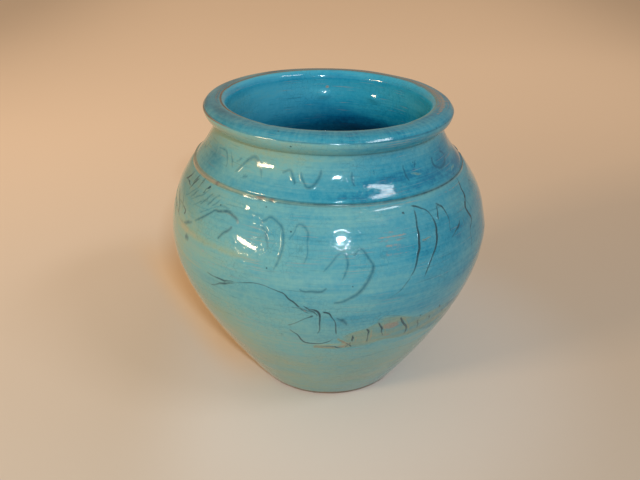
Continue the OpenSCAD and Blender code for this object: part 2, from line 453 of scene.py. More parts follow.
@dataclass
class Wheel:
    """What the wheel and the hand left in the shape, as one warp of space that every piece shares.

    The radius gets ripples, ovals, a dent, two drops of glaze inside and chips; the height gets
    the rim's tilt, which grows from the belly to the neck, and a slow wave.
    """

    outline: Outline
    wall_foot: Span = (0.012, 0.030)
    wall_top: Span = (0.168, 0.176)
    groove_fade: float = 0.003
    ring_pitches: Row = (0.0056, 0.0085, 0.0125)
    ring_sizes: Row = (0.000022, 0.00003, 0.00004)
    ring_spirals: Tuple[int, ...] = (1, 1, 2)
    ring_lag: float = 40.0
    ring_calm: float = 0.25
    ring_lively: Patch = Patch(30.0, 0.152, 24.0, 0.018, 1.0)
    fingers: Patch = Patch(-55.0, 0.118, 26.0, 0.020, 0.00007)
    finger_pitch: float = 0.0085
    finger_slant: float = 0.00042
    oval: Ramp = Ramp(0.0, 0.0004, 0.02, 0.08)
    oval_lag: float = 0.6
    shoulder_oval: float = 0.0010
    shoulder_foot: Span = (0.116, 0.138)
    shoulder_top: Span = (0.160, 0.176)
    dent: Span = (-30.0, 22.0)
    dent_size: Ramp = Ramp(0.0011, -0.000704, 0.138, 0.160)
    ridge: Ridge = FLANK_RIDGE
    ridge_size: float = 0.00018
    crease: Ridge = Ridge(0.1570, 0.0015, -35.0, -25.0, 2.0)
    crease_size: float = 0.00042
    lumps: Tuple[Patch, ...] = (
        Patch(-35, 0.1472, 1.8, 0.0020, 0.00068),
        Patch(-31.5, 0.1455, 2.2, 0.0022, 0.00064),
        Patch(-27.5, 0.1437, 1.8, 0.0022, 0.00048),
        Patch(-28.5, 0.1170, 2.4, 0.0015, 0.00038),
        Patch(-25.5, 0.1137, 1.8, 0.0014, 0.00046),
    )
    drop_turns: Row = (183, 150)
    drop_wide: float = 4.0
    drop_size: float = 0.0012
    drop_below: float = 0.0038
    drop_reach: float = 0.0023
    tilt: float = 1.35
    tilt_reach: Span = (0.100, 0.165)
    lip_wave: Waver = Waver(0.00030, 2, 9, 5)
    lip_wave_reach: Span = (0.150, 0.180)
    chips: Tuple[Chip, ...] = (
        Chip(-31, "lip", 2.2, 0.0012, 0.0006),
        Chip(42, "lip", 3, 0.0013, 0.0007),
        Chip(-66, "edge", 2.6, 0.0014, 0.0008),
        Chip(118, "lip", 2.5, 0.0012, 0.0006),
        Chip(203, "edge", 3.2, 0.0015, 0.0008),
        Chip(255, "lip", 2, 0.0011, 0.0005),
    )

    def shape(self, section: Array, turn: Array, along: Array) -> Array:
        """Carries points of the section round the axis and through the warp.

        Args:
            section: (radius, height) in the last axis
            turn: angle from the front, to the right, for each point
            along: the point's place on the outline

        Returns:
            x, y, z in the last axis: x = r sin(turn), y = -r cos(turn), plus the warp
        """
        r, z = section[..., 0], section[..., 1]
        neck = self.outline.place["neck"]
        outside = 1.0 - smooth(neck - self.groove_fade, neck, along)
        on_wall = smooth(*self.wall_foot, z) * (1.0 - smooth(*self.wall_top, z)) * outside
        chip_r, chip_z = self._chipped(r, z, turn)
        radius = r + self._ripple(turn, z) * on_wall + self._round_off(turn, z)
        radius = radius - self._drops(turn, along) + chip_r
        x = radius * np.sin(turn)
        drop = smooth(*self.tilt_reach, z) * math.tan(self.tilt * DEG) * x
        wave = smooth(*self.lip_wave_reach, z) * self.lip_wave(turn)
        return np.stack([x, -radius * np.cos(turn), z - drop + wave + chip_z], -1)

    def _ripple(self, turn: Array, z: Array) -> Array:
        """How far the wall swells.

        Args:
            turn, z: angles and heights

        Returns:
            Rings, sines of height that climb as they go round, and finger ridges, sines that slant,
            added to the bells of the wheel line, the crease and the lumps
        """
        rings = sum(size * np.sin(TAU * z / pitch + spiral * turn + self.ring_lag * pitch)
                    for pitch, size, spiral in zip(self.ring_pitches, self.ring_sizes, self.ring_spirals))
        rings = rings * (self.ring_calm + (1.0 - self.ring_calm) * self.ring_lively(turn, z))
        slanted = z + self.finger_slant * apart(turn, self.fingers.turn)
        ridges = np.sin(TAU * slanted / self.finger_pitch) * self.fingers(turn, z)
        lines = self.ridge_size * self.ridge(turn, z) + self.crease_size * self.crease(turn, z)
        return rings + lines + sum(lump(turn, z) for lump in self.lumps) + ridges

    def _round_off(self, turn: Array, z: Array) -> Array:
        """How far the section leaves the circle.

        Args:
            turn, z: angles and heights

        Returns:
            A slight oval, two waves in a turn, less another and a dent on the shoulder
        """
        oval = self.oval(z) * np.cos(2.0 * turn + self.oval_lag)
        on_shoulder = smooth(*self.shoulder_foot, z) * (1.0 - smooth(*self.shoulder_top, z))
        dent = self.dent_size(z) * turn_bell(turn, *self.dent)
        return oval - on_shoulder * (self.shoulder_oval * np.cos(2.0 * turn) + dent)

    def _drops(self, turn: Array, along: Array) -> Array:
        """How far the drops of glaze stand out inside.

        Args:
            turn, along: angles, and places on the outline

        Returns:
            A bell over turn and place for each drop
        """
        beside = sum(turn_bell(turn, middle, self.drop_wide) for middle in self.drop_turns)
        below = hill(along, self.outline.place["inner_neck"] + self.drop_below, self.drop_reach)
        return self.drop_size * beside * below

    def _chipped(self, r: Array, z: Array, turn: Array) -> Tuple[Array, Array]:
        """How far the chips push each point, in radius and in height.

        Args:
            r, z: the points of the section
            turn: their angles

        Returns:
            The two moves. A push reaches to the axis at most, so chips in the rim's edge stay shallow
        """
        push_r, push_z = np.zeros(r.shape), np.zeros(r.shape)
        for chip in self.chips:
            spot = np.array(self.outline.place[chip.place])
            centre = self.outline.at(spot)
            inward = np.clip(self.outline.at(spot, 1.0) - centre, -1.0, 1.0)
            away = (r - centre[0]) ** 2 + (z - centre[1]) ** 2
            bell = np.exp(-away / chip.size**2) * turn_bell(turn, chip.turn, chip.wide)
            push_r += chip.depth * bell * inward[0]
            push_z += chip.depth * bell * inward[1]
        return push_r, push_z


@dataclass
class Glazing:
    """Where the glaze lies, how thick it is and where it has worn, as functions of turn and place.

    A field of glaze stops at two uneven lines. Its face is flush with the outline, and sinks over
    a short feather to just below the clay at those lines. The clay lies one glaze thickness
    under the outline and rises near the bare lines.
    """

    outline: Outline
    feather: float = 0.0012
    tuck: float = 0.00006
    clay_rise: float = 0.82
    bare_reach: Tuple[Tuple[str, float], ...] = (("foot", 0.0028), ("edge", 0.0014), ("lip", 0.0014))
    edge_lift: float = 0.0002
    broad: Cloud = Cloud(0.030, 0.110, 4, 11)
    mottled: Cloud = Cloud(0.008, 0.030, 13, 12, 26)
    # paler and greener low down: partly thinner glaze, partly a painted reflection of the warm floor
    belly_heights: Row = (0, 30, 50, 75, 95, 115, 130, 148)
    belly_coats: Row = (0.42, 0.43, 0.47, 0.62, 0.72, 0.70, 0.64, 0.57)
    neck_lengths: Row = (0, 3, 7, 12, 17, 22, 27, 31, 36)
    neck_coats: Row = (0.72, 0.78, 0.77, 0.72, 0.64, 0.58, 0.54, 0.52, 0.56)
    ladder_turns: Row = (6, 9, 13, 16, 18, 21, 25, 28, 33, 38, 45, 51, 60)
    ladder_top: Row = (75, 77, 79, 82, 86, 86, 84, 82, 79, 79, 79, 78, 76)
    ladder_foot: Row = (62, 62, 62, 64, 65, 66, 65, 64, 63, 63, 60, 59, 58)
    ladder_start: Span = (3.0, 7.0)
    ladder_stop: Span = (72.0, 90.0)
    ladder_foot_edge: Span = (-1.8 * MM, 1.4 * MM)
    ladder_top_edge: Span = (-1.2 * MM, 1.6 * MM)
    ladder_rich: Ramp = Ramp(0.33, 0.14, 24.0, 40.0)
    ladder_mottle: float = 0.14
    ladder_share: float = 0.85
    ladder_grey: Ramp = Ramp(0.18, 0.12, 16.0, 34.0)
    ladder_worn: float = 0.14
    pool_size: float = 0.00018
    mottle_size: float = 0.00005
    swell: Band = Band("seam", -4.5, 2.2, 0.00012)
    pool_fade: float = 0.003
    # bluer to the right and greener to the left: partly the glaze, partly painted cool light on the right and
    # warm light on the left
    bluer_side: Span = (55.0, 38.0)
    bluer_gain: Ramp = Ramp(0.0, 0.20, 0.078, 0.100)
    greener_side: Span = (-80.0, 44.0)
    greener_loss: Ramp = Ramp(0.30, -0.14, 0.122, 0.140)
    shoulder_lean: float = 0.27
    shoulder_ends: float = 0.06
    shoulder_most: float = 0.92
    ridge: Ridge = FLANK_RIDGE
    ridge_loss: float = 0.22
    rim_rich: float = 0.85
    rim_lean: float = 0.08
    # the lining grows richer and darker deeper down as painted shade, and paler on the left as painted light
    lining_rich_and_shade: Ramp = Ramp(0.72, 0.28, 0.004, 0.035)
    lining_left_painted_light: float = 0.22
    lip_thin: Band = Band("lip", 0.0, 0.9, -0.34)
    throat_rich: Band = Band("throat", -1.0, 3.2, 0.10, 0.12)
    broad_share: float = 0.045
    mottle_share: float = 0.030
    # the left of the rim's top is darker: partly worn, duller glaze, partly painted shade
    rim_dark: float = 0.34
    rim_dark_mottle: float = 0.16
    foot_dark: Ramp = Ramp(0.10, -0.10, 0.035, 0.070)
    # painted shade deep inside, fading out further down
    painted_deep_shade: Ramp = Ramp(0.0, 0.80, 0.020, 0.048)
    painted_deep_shade_fade: Ramp = Ramp(1.0, -1.0, 0.060, 0.110)
    foot_worn: float = 0.26
    foot_worn_left: float = -0.12
    foot_fade: Ramp = Ramp(1.0, -1.0, 0.030, 0.072)
    rich_patches: Tuple[Patch, ...] = (
        Patch(64, 0.122, 14, 0.020, -0.10),
        Patch(-32, 0.080, 20, 0.026, -0.04),
        Patch(42, 0.053, 16, 0.0016, 0.14),
        Patch(-62, 0.160, 9, 0.006, 0.18),
        Patch(62, 0.160, 11, 0.007, 0.06),
    )
    dark_patches: Tuple[Patch, ...] = (
        Patch(-63, 0.161, 10, 0.007, 0.30),
        Patch(58, 0.161, 9, 0.007, 0.10),
        Patch(-66, 0.142, 20, 0.014, 0.26),
        Patch(60, 0.128, 16, 0.020, 0.20),
    )
    dark_bands: Tuple[Band, ...] = (
        # painted shade in the groove under the rim, darker to the left
        Band("neck", -0.3, 0.8, 0.26, 0.18),
        Band("rubbed_edge", 0, 0.45, 0.40, -0.40),
        Band("rubbed_edge", 0.9, 0.4, 0, 0.40),
        Band("lip", 0.2, 0.9, 0.38),
        Band("lip", -1.6, 2, 0.34, turn=160, spread=80),
    )
    worn_patches: Tuple[Patch, ...] = (
        Patch(22, 0.131, 10, 0.011, 0.52),
        Patch(22, 0.078, 3.6, 0.0042, 0.75),
        Patch(21.5, 0.0695, 3, 0.0012, 0.50),
        Patch(-7.5, 0.0940, 1.6, 0.0018, 0.60),
        Patch(-48, 0.113, 18, 0.012, 0.42),
        Patch(-27, 0.080, 15, 0.016, 0.06),
        Patch(196, 0.120, 14, 0.012, 0.55),
    )
    worn_outside: Tuple[Patch, ...] = (
        Patch(44, 0.058, 16, 0.0035, 0.30),
        Patch(56, 0.134, 15, 0.014, 0.40),
    )
    worn_bands: Tuple[Band, ...] = (
        Band("neck", 0, 1.2, 0, 0.62),
        Band("rubbed_edge", 0, 0.6, 0, 0.62),
        Band("lip", 0, 0.6, 0.30, 0.26),
        Band("lip", -2, 2.4, 0.84, turn=160, spread=80),
        Band("lip", -4.6, 4.6, 0.50, turn=84, spread=36),
        Band("lip", -4.6, 4.6, 0.46, turn=-92, spread=34),
        Band("seam", -4, 0.5, 0.42),
        Band("foot", 0, 3, 0.70),
        Band("throat", 6, 1.4, 0.90, turn=181, spread=1.4),
    )

    def __post_init__(self) -> None:
        """Adds the rubbed line, a little above the widest part of the rim, to the outline's places."""
        self.edge_line = self.outline.place["edge"] + self.edge_lift
        self.place = dict(self.outline.place, rubbed_edge=self.edge_line)

    def _banded(self, bands: Sequence[Band], turn: Array, along: Array) -> Array:
        """Several lines added up."""
        left = self.leftness(turn)
        return sum(band(turn, along, left, self.place[band.place]) for band in bands)

    def clay_depth(self, along: Array) -> Array:
        """How far the clay lies below the outline: the glaze thickness, less near bare lines."""
        near = np.min([np.abs(along - self.place[name]) / reach for name, reach in self.bare_reach], axis=0)
        return self.outline.glaze_t * (1.0 - self.clay_rise * np.exp(-(near**4)))

    def face_depth(self, turn: Array, along: Array, first: Array, last: Array) -> Array:
        """How far the face of a glaze field lies below the outline.

        Args:
            turn, along: angles, and places on the outline
            first, last: where the field starts and ends at each angle

        Returns:
            Depths: below the clay at the ends, and less than 0 where the glaze has pooled
        """
        inside = np.minimum(along - first, last - along)
        full = smooth(0.0, self.feather, inside)
        pool = self.pool_size * self.pooling(along) + self.mottle_size * self.mottled(turn, along)
        pool = pool + self._banded([self.swell], turn, along)
        bare = (self.clay_depth(along) + self.tuck) * (1.0 - full)
        return bare - pool * smooth(0.0, self.pool_fade, inside)

    def pooling(self, along: Array) -> Array:
        """1 where the glaze ran down and stood still, above the cordon, and less in the groove."""
        groove = hill(along, self.place["neck"], 1.6 * MM)
        return np.maximum(hill(along, self.place["seam"] + 5.5 * MM, 4.5 * MM), 0.7 * groove)

    @staticmethod
    def rightward(turn: Array) -> Array:
        """1 on the right, with rich glaze and painted cool light, and -1 opposite: the cosine of the angle."""
        return np.cos(turn - 75.0 * DEG)

    def leftness(self, turn: Array) -> Array:
        """1 on the left, where the edges are rubbed, and 0 on the right."""
        return smooth(-0.05, 0.85, -self.rightward(turn))

    def ladder(self, turn: Array, along: Array) -> Array:
        """Where the pale band with rungs lies, on the right.

        Args:
            turn, along: angles, and places on the outline

        Returns:
            1 between the band's two drawn edges
        """
        side = apart(turn, 0.0)
        top = self.outline.outside_at(np.interp(side, self.ladder_turns, self.ladder_top) * MM)
        foot = self.outline.outside_at(np.interp(side, self.ladder_turns, self.ladder_foot) * MM)
        ends = smooth(*self.ladder_start, side) * (1.0 - smooth(*self.ladder_stop, side))
        band = smooth(*self.ladder_foot_edge, along - foot) * smooth(*self.ladder_top_edge, top - along)
        return band * ends

    def _wall_coat(self, turn: Array, along: Array) -> Array:
        """How rich the glaze is outside.

        Args:
            turn, along: angles, and places on the outline

        Returns:
            A course of values up the belly and the neck, richer to the right and poorer to the left, partly
            the glaze and partly painted cool and warm light, with soft patches, less on the wheel line, and
            the pale band laid over it
        """
        seam = self.place["seam"]
        z = self.outline.at(along)[..., 1]
        above = smooth(seam - 1 * MM, seam + 1 * MM, along)
        belly = np.interp(z / MM, self.belly_heights, self.belly_coats)
        neck = np.interp((along - seam) / MM, self.neck_lengths, self.neck_coats)
        # bluer to the right, greener to the left: partly the glaze, partly painted cool and warm light
        right = turn_bell(turn, *self.bluer_side)
        left = turn_bell(turn, *self.greener_side)
        wall = belly + above * (neck - belly)
        wall = wall + (self.bluer_gain(z) * right - self.greener_loss(z) * left) * (1.0 - above)
        # the shoulder bluer to the right: partly the glaze, partly painted cool light
        rightward = self.rightward(turn)
        lean = self.shoulder_lean * rightward + self.shoulder_ends * np.abs(rightward)
        wall = np.minimum(wall + above * lean, self.shoulder_most)
        wall = wall - self.ridge_loss * self.ridge(turn, z)
        wall = wall + sum(patch(turn, z) for patch in self.rich_patches)
        pale = self.ladder_rich(apart(turn, 0.0)) + self.ladder_mottle * self.mottled(turn, along)
        return wall - (wall - pale) * self.ladder_share * self.ladder(turn, along)

    def coat(self, turn: Array, along: Array) -> Array:
        """How rich the glaze is, from 0, where the clay shows, to 1, the deepest blue.

        Args:
            turn, along: angles, and places on the outline

        Returns:
            The richness, from the wall, the rim's top and the lining, and two scales of unevenness
        """
        place, left = self.place, self.leftness(turn)
        at_lip = self._banded([self.lip_thin], turn, along)
        # the rim's top bluer to the right: partly the glaze, partly painted cool light
        top = self.rim_rich + self.rim_lean * self.rightward(turn) + at_lip
        # the lining: richer deeper down as painted shade, paler on the left as painted light
        lining = self.lining_rich_and_shade(along - place["throat"]) * (1.0 - self.lining_left_painted_light * left) + at_lip
        lining = lining + self._banded([self.throat_rich], turn, along)
        on_top = smooth(place["edge"] - 0.5 * MM, place["edge"] + 0.5 * MM, along)
        in_lining = smooth(place["lip"] - 0.5 * MM, place["lip"] + 0.5 * MM, along)
        wall = self._wall_coat(turn, along)
        rich = wall + on_top * (top - wall)
        rich = rich + in_lining * (lining - rich)
        uneven = self.broad_share * self.broad(turn, along) + self.mottle_share * self.mottled(turn, along)
        return np.clip(rich + (1.0 - 0.5 * in_lining) * uneven, 0.0, 1.0)

    def dark_glaze_and_shade(self, turn: Array, along: Array) -> Array:
        """How far the glaze is darkened: painted shade in the groove and deep inside, and darker glaze at the
        edge, in pools and over dull zones.

        Args:
            turn, along: angles, and places on the outline

        Returns:
            Shares of the dark ink: bands at the edges, with painted shade in the groove; the left of the rim's
            top, partly painted shade; painted shade in the depths inside; the pale band with rungs, the foot,
            and patches on the wall
        """
        place, left = self.place, self.leftness(turn)
        z = self.outline.at(along)[..., 1]
        # the left of the rim's top: partly worn, duller glaze, partly painted shade
        on_top = smooth(place["edge"] + 1.0 * MM, place["edge"] + 3.0 * MM, along)
        on_top = on_top * (1.0 - smooth(place["lip"] - 2.5 * MM, place["lip"], along))
        rim = (self.rim_dark + self.rim_dark_mottle * self.mottled(turn, along)) * left * on_top
        dull = self.ladder_grey(apart(turn, 0.0)) * self.ladder(turn, along) + self.foot_dark(z)
        dull = dull + sum(patch(turn, z) for patch in self.dark_patches)
        # painted shade deep inside, none on the left, where the lining gets painted light
        down = along - place["throat"]
        depths = self.painted_deep_shade(down) * self.painted_deep_shade_fade(down) * (1.0 - left)
        lines = self._banded(self.dark_bands, turn, along)
        return np.clip(lines + rim + depths + dull * (along < place["neck"]), 0.0, 1.0)

    def runs(self, along: Array) -> Array:
        """How far the glaze shows fine runs across the wheel's lines: on the rim, and less inside."""
        edge, lip = self.place["edge"], self.place["lip"]
        return smooth(edge, edge + 1.5 * MM, along) * (1.0 - 0.75 * smooth(lip, lip + 3.0 * MM, along))

    def worn(self, turn: Array, along: Array) -> Array:
        """How far the glaze has thinned to the clay.

        Args:
            turn, along: angles, and places on the outline

        Returns:
            Shares of bare clay: pink streaks and patches, the foot, the pale band and the sharp lines
        """
        z = self.outline.at(along)[..., 1]
        low = (self.foot_worn + self.foot_worn_left * self.leftness(turn)) * self.foot_fade(z)
        dull = self.ladder_worn * self.ladder(turn, along) + low
        dull = dull + sum(patch(turn, z) for patch in self.worn_outside)
        total = sum(patch(turn, z) for patch in self.worn_patches) + dull * (along < self.place["neck"])
        return np.clip(total + self._banded(self.worn_bands, turn, along), 0.0, 1.0)


# Meshes


Attributes = Dict[str, Array]


def make_object(name: str, points: Array, faces: List[Sequence[int]], values: Attributes,
                sharp: float = 50.0) -> bpy.types.Object:
    """Puts points, faces and per-point values into a smooth-shaded object at the origin.

    Args:
        name: the object's name
        points: (n, 3) places in metres
        faces: point numbers of each face
        values: attributes, each (n,) or (n, 3)
        sharp: edges with a larger angle between faces, in degrees, stay sharp

    Returns:
        The object, linked to the scene
    """
    mesh = bpy.data.meshes.new(name)
    mesh.from_pydata(points.tolist(), [], faces)
    mesh.polygons.foreach_set("use_smooth", np.ones(len(mesh.polygons), dtype=bool))
    mesh.set_sharp_from_angle(angle=sharp * DEG)
    for key, value in values.items():
        vector = value.ndim == 2
        layer = mesh.attributes.new(key, "FLOAT_VECTOR" if vector else "FLOAT", "POINT")
        flat = np.ascontiguousarray(value, dtype=np.float32).ravel()
        layer.data.foreach_set("vector" if vector else "value", flat)
    mesh.update()
    thing = bpy.data.objects.new(name, mesh)
    bpy.context.scene.collection.objects.link(thing)
    return thing


def grid_faces(rows: int, columns: int, loop_rows: bool, loop_columns: bool) -> Array:
    """Four-sided faces of a grid: (i, j), (i + 1, j), (i + 1, j + 1), (i, j + 1).

    Args:
        rows, columns: points each way, numbered row by row
        loop_rows, loop_columns: whether the last row or column joins the first

    Returns:
        (n, 4) point numbers
    """
    i = np.arange(rows if loop_rows else rows - 1)[:, None]
    j = np.arange(columns if loop_columns else columns - 1)[None, :]
    below, beside = (i + 1) % rows, (j + 1) % columns
    corner = lambda a, b: (a * columns + b).ravel()
    return np.stack([corner(i, j), corner(below, j), corner(below, beside), corner(i, beside)], 1)


def throw_of(turn: Array, along: Array) -> Array:
    """What the wheel's streaks follow: (0.1 cos turn, 0.1 sin turn, place on the outline)."""
    return np.stack([0.1 * np.cos(turn), 0.1 * np.sin(turn), along], 1)


@dataclass
class Turnery:
    """Turns sections round the axis through the wheel's warp."""

    outline: Outline
    wheel: Wheel
    glazing: Glazing

    def turned(self, name: str, section: Section, around: int,
               poles: bool = False, extra: Optional[Callable[[Array, Array], Attributes]] = None
               ) -> bpy.types.Object:
        """Makes a closed body of revolution: point (i, j) is section point j at turn i, warped.

        Args:
            name: the object's name
            section: gives, for turns of shape (n, 1), the section (n, m, 2) and its places (n, m)
            around: columns round the axis
            poles: whether the section starts and ends on the axis, where its points become one
            extra: gives more attributes from turns and places

        Returns:
            The object, with the attribute throw
        """
        turn = np.linspace(0.0, TAU, around, endpoint=False)[:, None]
        outline, along = section(turn)
        turns = np.broadcast_to(turn, along.shape)
        points = self.wheel.shape(outline, turns, along)
        ends, end_places = points[:, [0, -1]].mean(axis=0), along[0, [0, -1]]
        if poles:
            points, turns, along = points[:, 1:-1], turns[:, 1:-1], along[:, 1:-1]
        across = points.shape[1]
        faces = grid_faces(around, across, True, not poles).tolist()
        flat = points.reshape(-1, 3)
        turns, along = turns.ravel(), along.ravel()
        if poles:
            count = around * across
            flat = np.concatenate([flat, ends])
            turns, along = np.append(turns, [0.0, 0.0]), np.append(along, end_places)
            i = np.arange(around)
            nxt = (i + 1) % around
            first = np.stack([np.full(around, count), nxt * across, i * across], 1)
            last = np.stack([np.full(around, count + 1), (i + 1) * across - 1, (nxt + 1) * across - 1], 1)
            faces = faces + first.tolist() + last.tolist()
        values: Attributes = {"throw": throw_of(turns, along)}
        if extra is not None:
            values.update(extra(turns, along))
        return make_object(name, flat, faces, values)

    def glaze_values(self, turn: Array, along: Array) -> Attributes:
        """The attributes that the glaze's finish reads.

        Args:
            turn, along: angles, and places on the outline

        Returns:
            Their values by name
        """
        return {
            "coat": self.glazing.coat(turn, along),
            "worn": self.glazing.worn(turn, along),
            # ink: dark glaze, with painted shade in the groove, on the left of the rim's top and deep inside
            "ink": self.glazing.dark_glaze_and_shade(turn, along),
            "runs": self.glazing.runs(along),
        }


# Shader trees


Input = Union["Shade", Socket, float, Sequence[float]]


class Shade:
    """A value in a node tree; arithmetic on it adds Math nodes."""

    def __init__(self, tree: "Nodes", socket: Socket) -> None:
        """Keeps the socket and the tree that it is in."""
        self.tree = tree
        self.socket = socket

    def _math(self, operation: str, first: Input, second: Input) -> "Shade":
        """Adds one Math node."""
        node = self.tree.node("ShaderNodeMath", {"operation": operation}, {0: first, 1: second})
        return Shade(self.tree, node.outputs[0])

    def __add__(self, other: Input) -> "Shade":
        """self + other."""
        return self._math("ADD", self, other)

    __radd__ = __add__

    def __sub__(self, other: Input) -> "Shade":
        """self - other."""
        return self._math("SUBTRACT", self, other)

    def __rsub__(self, other: Input) -> "Shade":
        """other - self."""
        return self._math("SUBTRACT", other, self)

    def __mul__(self, other: Input) -> "Shade":
        """self * other."""
        return self._math("MULTIPLY", self, other)

    __rmul__ = __mul__

    def at_least(self, other: Input) -> "Shade":
        """The larger of self and other."""
        return self._math("MAXIMUM", self, other)

    def over(self, low: float, high: float) -> "Shade":
        """A smooth step from 0 at low to 1 at high."""
        node = self.tree.node("ShaderNodeMapRange", {"interpolation_type": "SMOOTHSTEP"},
                              {"Value": self, "From Min": low, "From Max": high})
        return Shade(self.tree, node.outputs["Result"])


class Nodes:
    """A node tree to which one method adds any node."""

    def __init__(self, tree: bpy.types.NodeTree) -> None:
        """Starts from an empty tree."""
        self.nodes, self.links = tree.nodes, tree.links
        self.nodes.clear()

    def node(self, kind: str, settings: Optional[Dict[str, Any]] = None,
             inputs: Optional[Dict[Union[str, int], Input]] = None) -> bpy.types.Node:
        """Adds a node.

        Args:
            kind: its type
            settings: properties, set first; stops gives a ramp's (position, colour) pairs
            inputs: values or links of its sockets, by name or number

        Returns:
            The node
        """
        node = self.nodes.new(kind)
        for key, value in (settings or {}).items():
            if key == "stops":
                self._set_stops(node.color_ramp, value)
            else:
                setattr(node, key, value)
        for key, value in (inputs or {}).items():
            self.feed(node.inputs[key], value)
        return node

    @staticmethod
    def _set_stops(ramp: bpy.types.ColorRamp, stops: Sequence[Tuple[float, Colour]]) -> None:
        """Gives a ramp its stops.

        Args:
            ramp: the colour ramp
            stops: (position, colour) pairs
        """
        while len(ramp.elements) < len(stops):
            ramp.elements.new(1.0)
        for element, (position, colour) in zip(ramp.elements, stops):
            element.position = position
            element.color = (*colour, 1.0)

    def feed(self, socket: Socket, value: Input) -> None:
        """Links a socket or sets its value.

        Args:
            socket: the input
            value: what it gets
        """
        value = value.socket if isinstance(value, Shade) else value
        if isinstance(value, Socket):
            self.links.new(value, socket)
        elif socket.type == "RGBA" and len(value) == 3:
            socket.default_value = (*value, 1.0)
        else:
            socket.default_value = value


class Tree(Nodes):
    """A material's node tree with one principled surface."""

    def __init__(self, name: str) -> None:
        """Starts a material with only a surface and an output.

        Args:
            name: the material's name
        """
        self.material = bpy.data.materials.new(name)
        self.material.use_nodes = True
        super().__init__(self.material.node_tree)
        self.surface = self.node("ShaderNodeBsdfPrincipled")
        self.node("ShaderNodeOutputMaterial", inputs={"Surface": self.surface.outputs["BSDF"]})

    def dress(self, **values: Input) -> None:
        """Feeds the surface's sockets.

        Args:
            values: by name, with underscores for spaces and in lower case
        """
        for key, value in values.items():
            name = " ".join(word.upper() if word == "ior" else word.capitalize() for word in key.split("_"))
            self.feed(self.surface.inputs[name], value)

    def attribute(self, name: str, vector: bool = False) -> Union[Shade, Socket]:
        """Reads a value, or a vector, that the mesh carries."""
        node = self.node("ShaderNodeAttribute", {"attribute_name": name})
        return node.outputs["Vector"] if vector else Shade(self, node.outputs["Fac"])

    def object_place(self) -> Socket:
        """The point in the object's own metres."""
        return self.node("ShaderNodeTexCoord").outputs["Object"]

    def noise(self, vector: Socket, scale: float, detail: float = 2.0, roughness: float = 0.5) -> Shade:
        """Soft noise about one half."""
        node = self.node("ShaderNodeTexNoise", None,
                         {"Vector": vector, "Scale": scale, "Detail": detail, "Roughness": roughness})
        return Shade(self, node.outputs["Fac"])

    def streaks(self, throw: Socket, scales: Span, detail: float = 3.0, roughness: float = 0.6) -> Shade:
        """Noise drawn out by the wheel, with one scale round the vase and one up it."""
        drawn = self.node("ShaderNodeVectorMath", {"operation": "MULTIPLY"},
                          {0: throw, 1: (scales[0], *scales)})
        return self.noise(drawn.outputs["Vector"], 1.0, detail, roughness)

    def cells(self, vector: Socket, scale: float, feature: str = "F1") -> bpy.types.Node:
        """Cells round scattered points."""
        return self.node("ShaderNodeTexVoronoi", {"feature": feature}, {"Vector": vector, "Scale": scale})

    def ramp(self, value: Shade, stops: Sequence[Tuple[float, Colour]]) -> Socket:
        """A colour picked by a value."""
        node = self.node("ShaderNodeValToRGB", {"stops": stops}, {"Fac": value})
        return node.outputs["Color"]

    def mix(self, share: Input, first: Input, second: Input, blend: str = "MIX") -> Socket:
        """Two colours mixed by a share."""
        node = self.node("ShaderNodeMix", {"data_type": "RGBA", "blend_type": blend},
                         {0: share, 6: first, 7: second})
        return node.outputs[2]

    def bump(self, height: Shade, distance: float, strength: float) -> Socket:
        """A normal tipped by a height in metres times the distance."""
        inputs = {"Height": height, "Distance": distance, "Strength": strength}
        return self.node("ShaderNodeBump", None, inputs).outputs["Normal"]


# Finishes


GLAZE_STOPS: Stops = (
    (0.00, (0.370, 0.310, 0.215)),
    (0.18, (0.290, 0.340, 0.250)),
    (0.36, (0.205, 0.350, 0.295)),
    (0.56, (0.132, 0.355, 0.385)),
    (0.76, (0.062, 0.285, 0.375)),
    (0.90, (0.020, 0.235, 0.350)),
    (1.00, (0.003, 0.155, 0.275)),
)


LINING_STOPS: Stops = (
    (0.00, (0.370, 0.310, 0.215)),
    (0.36, (0.150, 0.370, 0.370)),
    (0.60, (0.070, 0.395, 0.545)),
    (0.80, (0.024, 0.298, 0.462)),
    (0.92, (0.004, 0.215, 0.390)),
    (1.00, (0.001, 0.125, 0.270)),
)


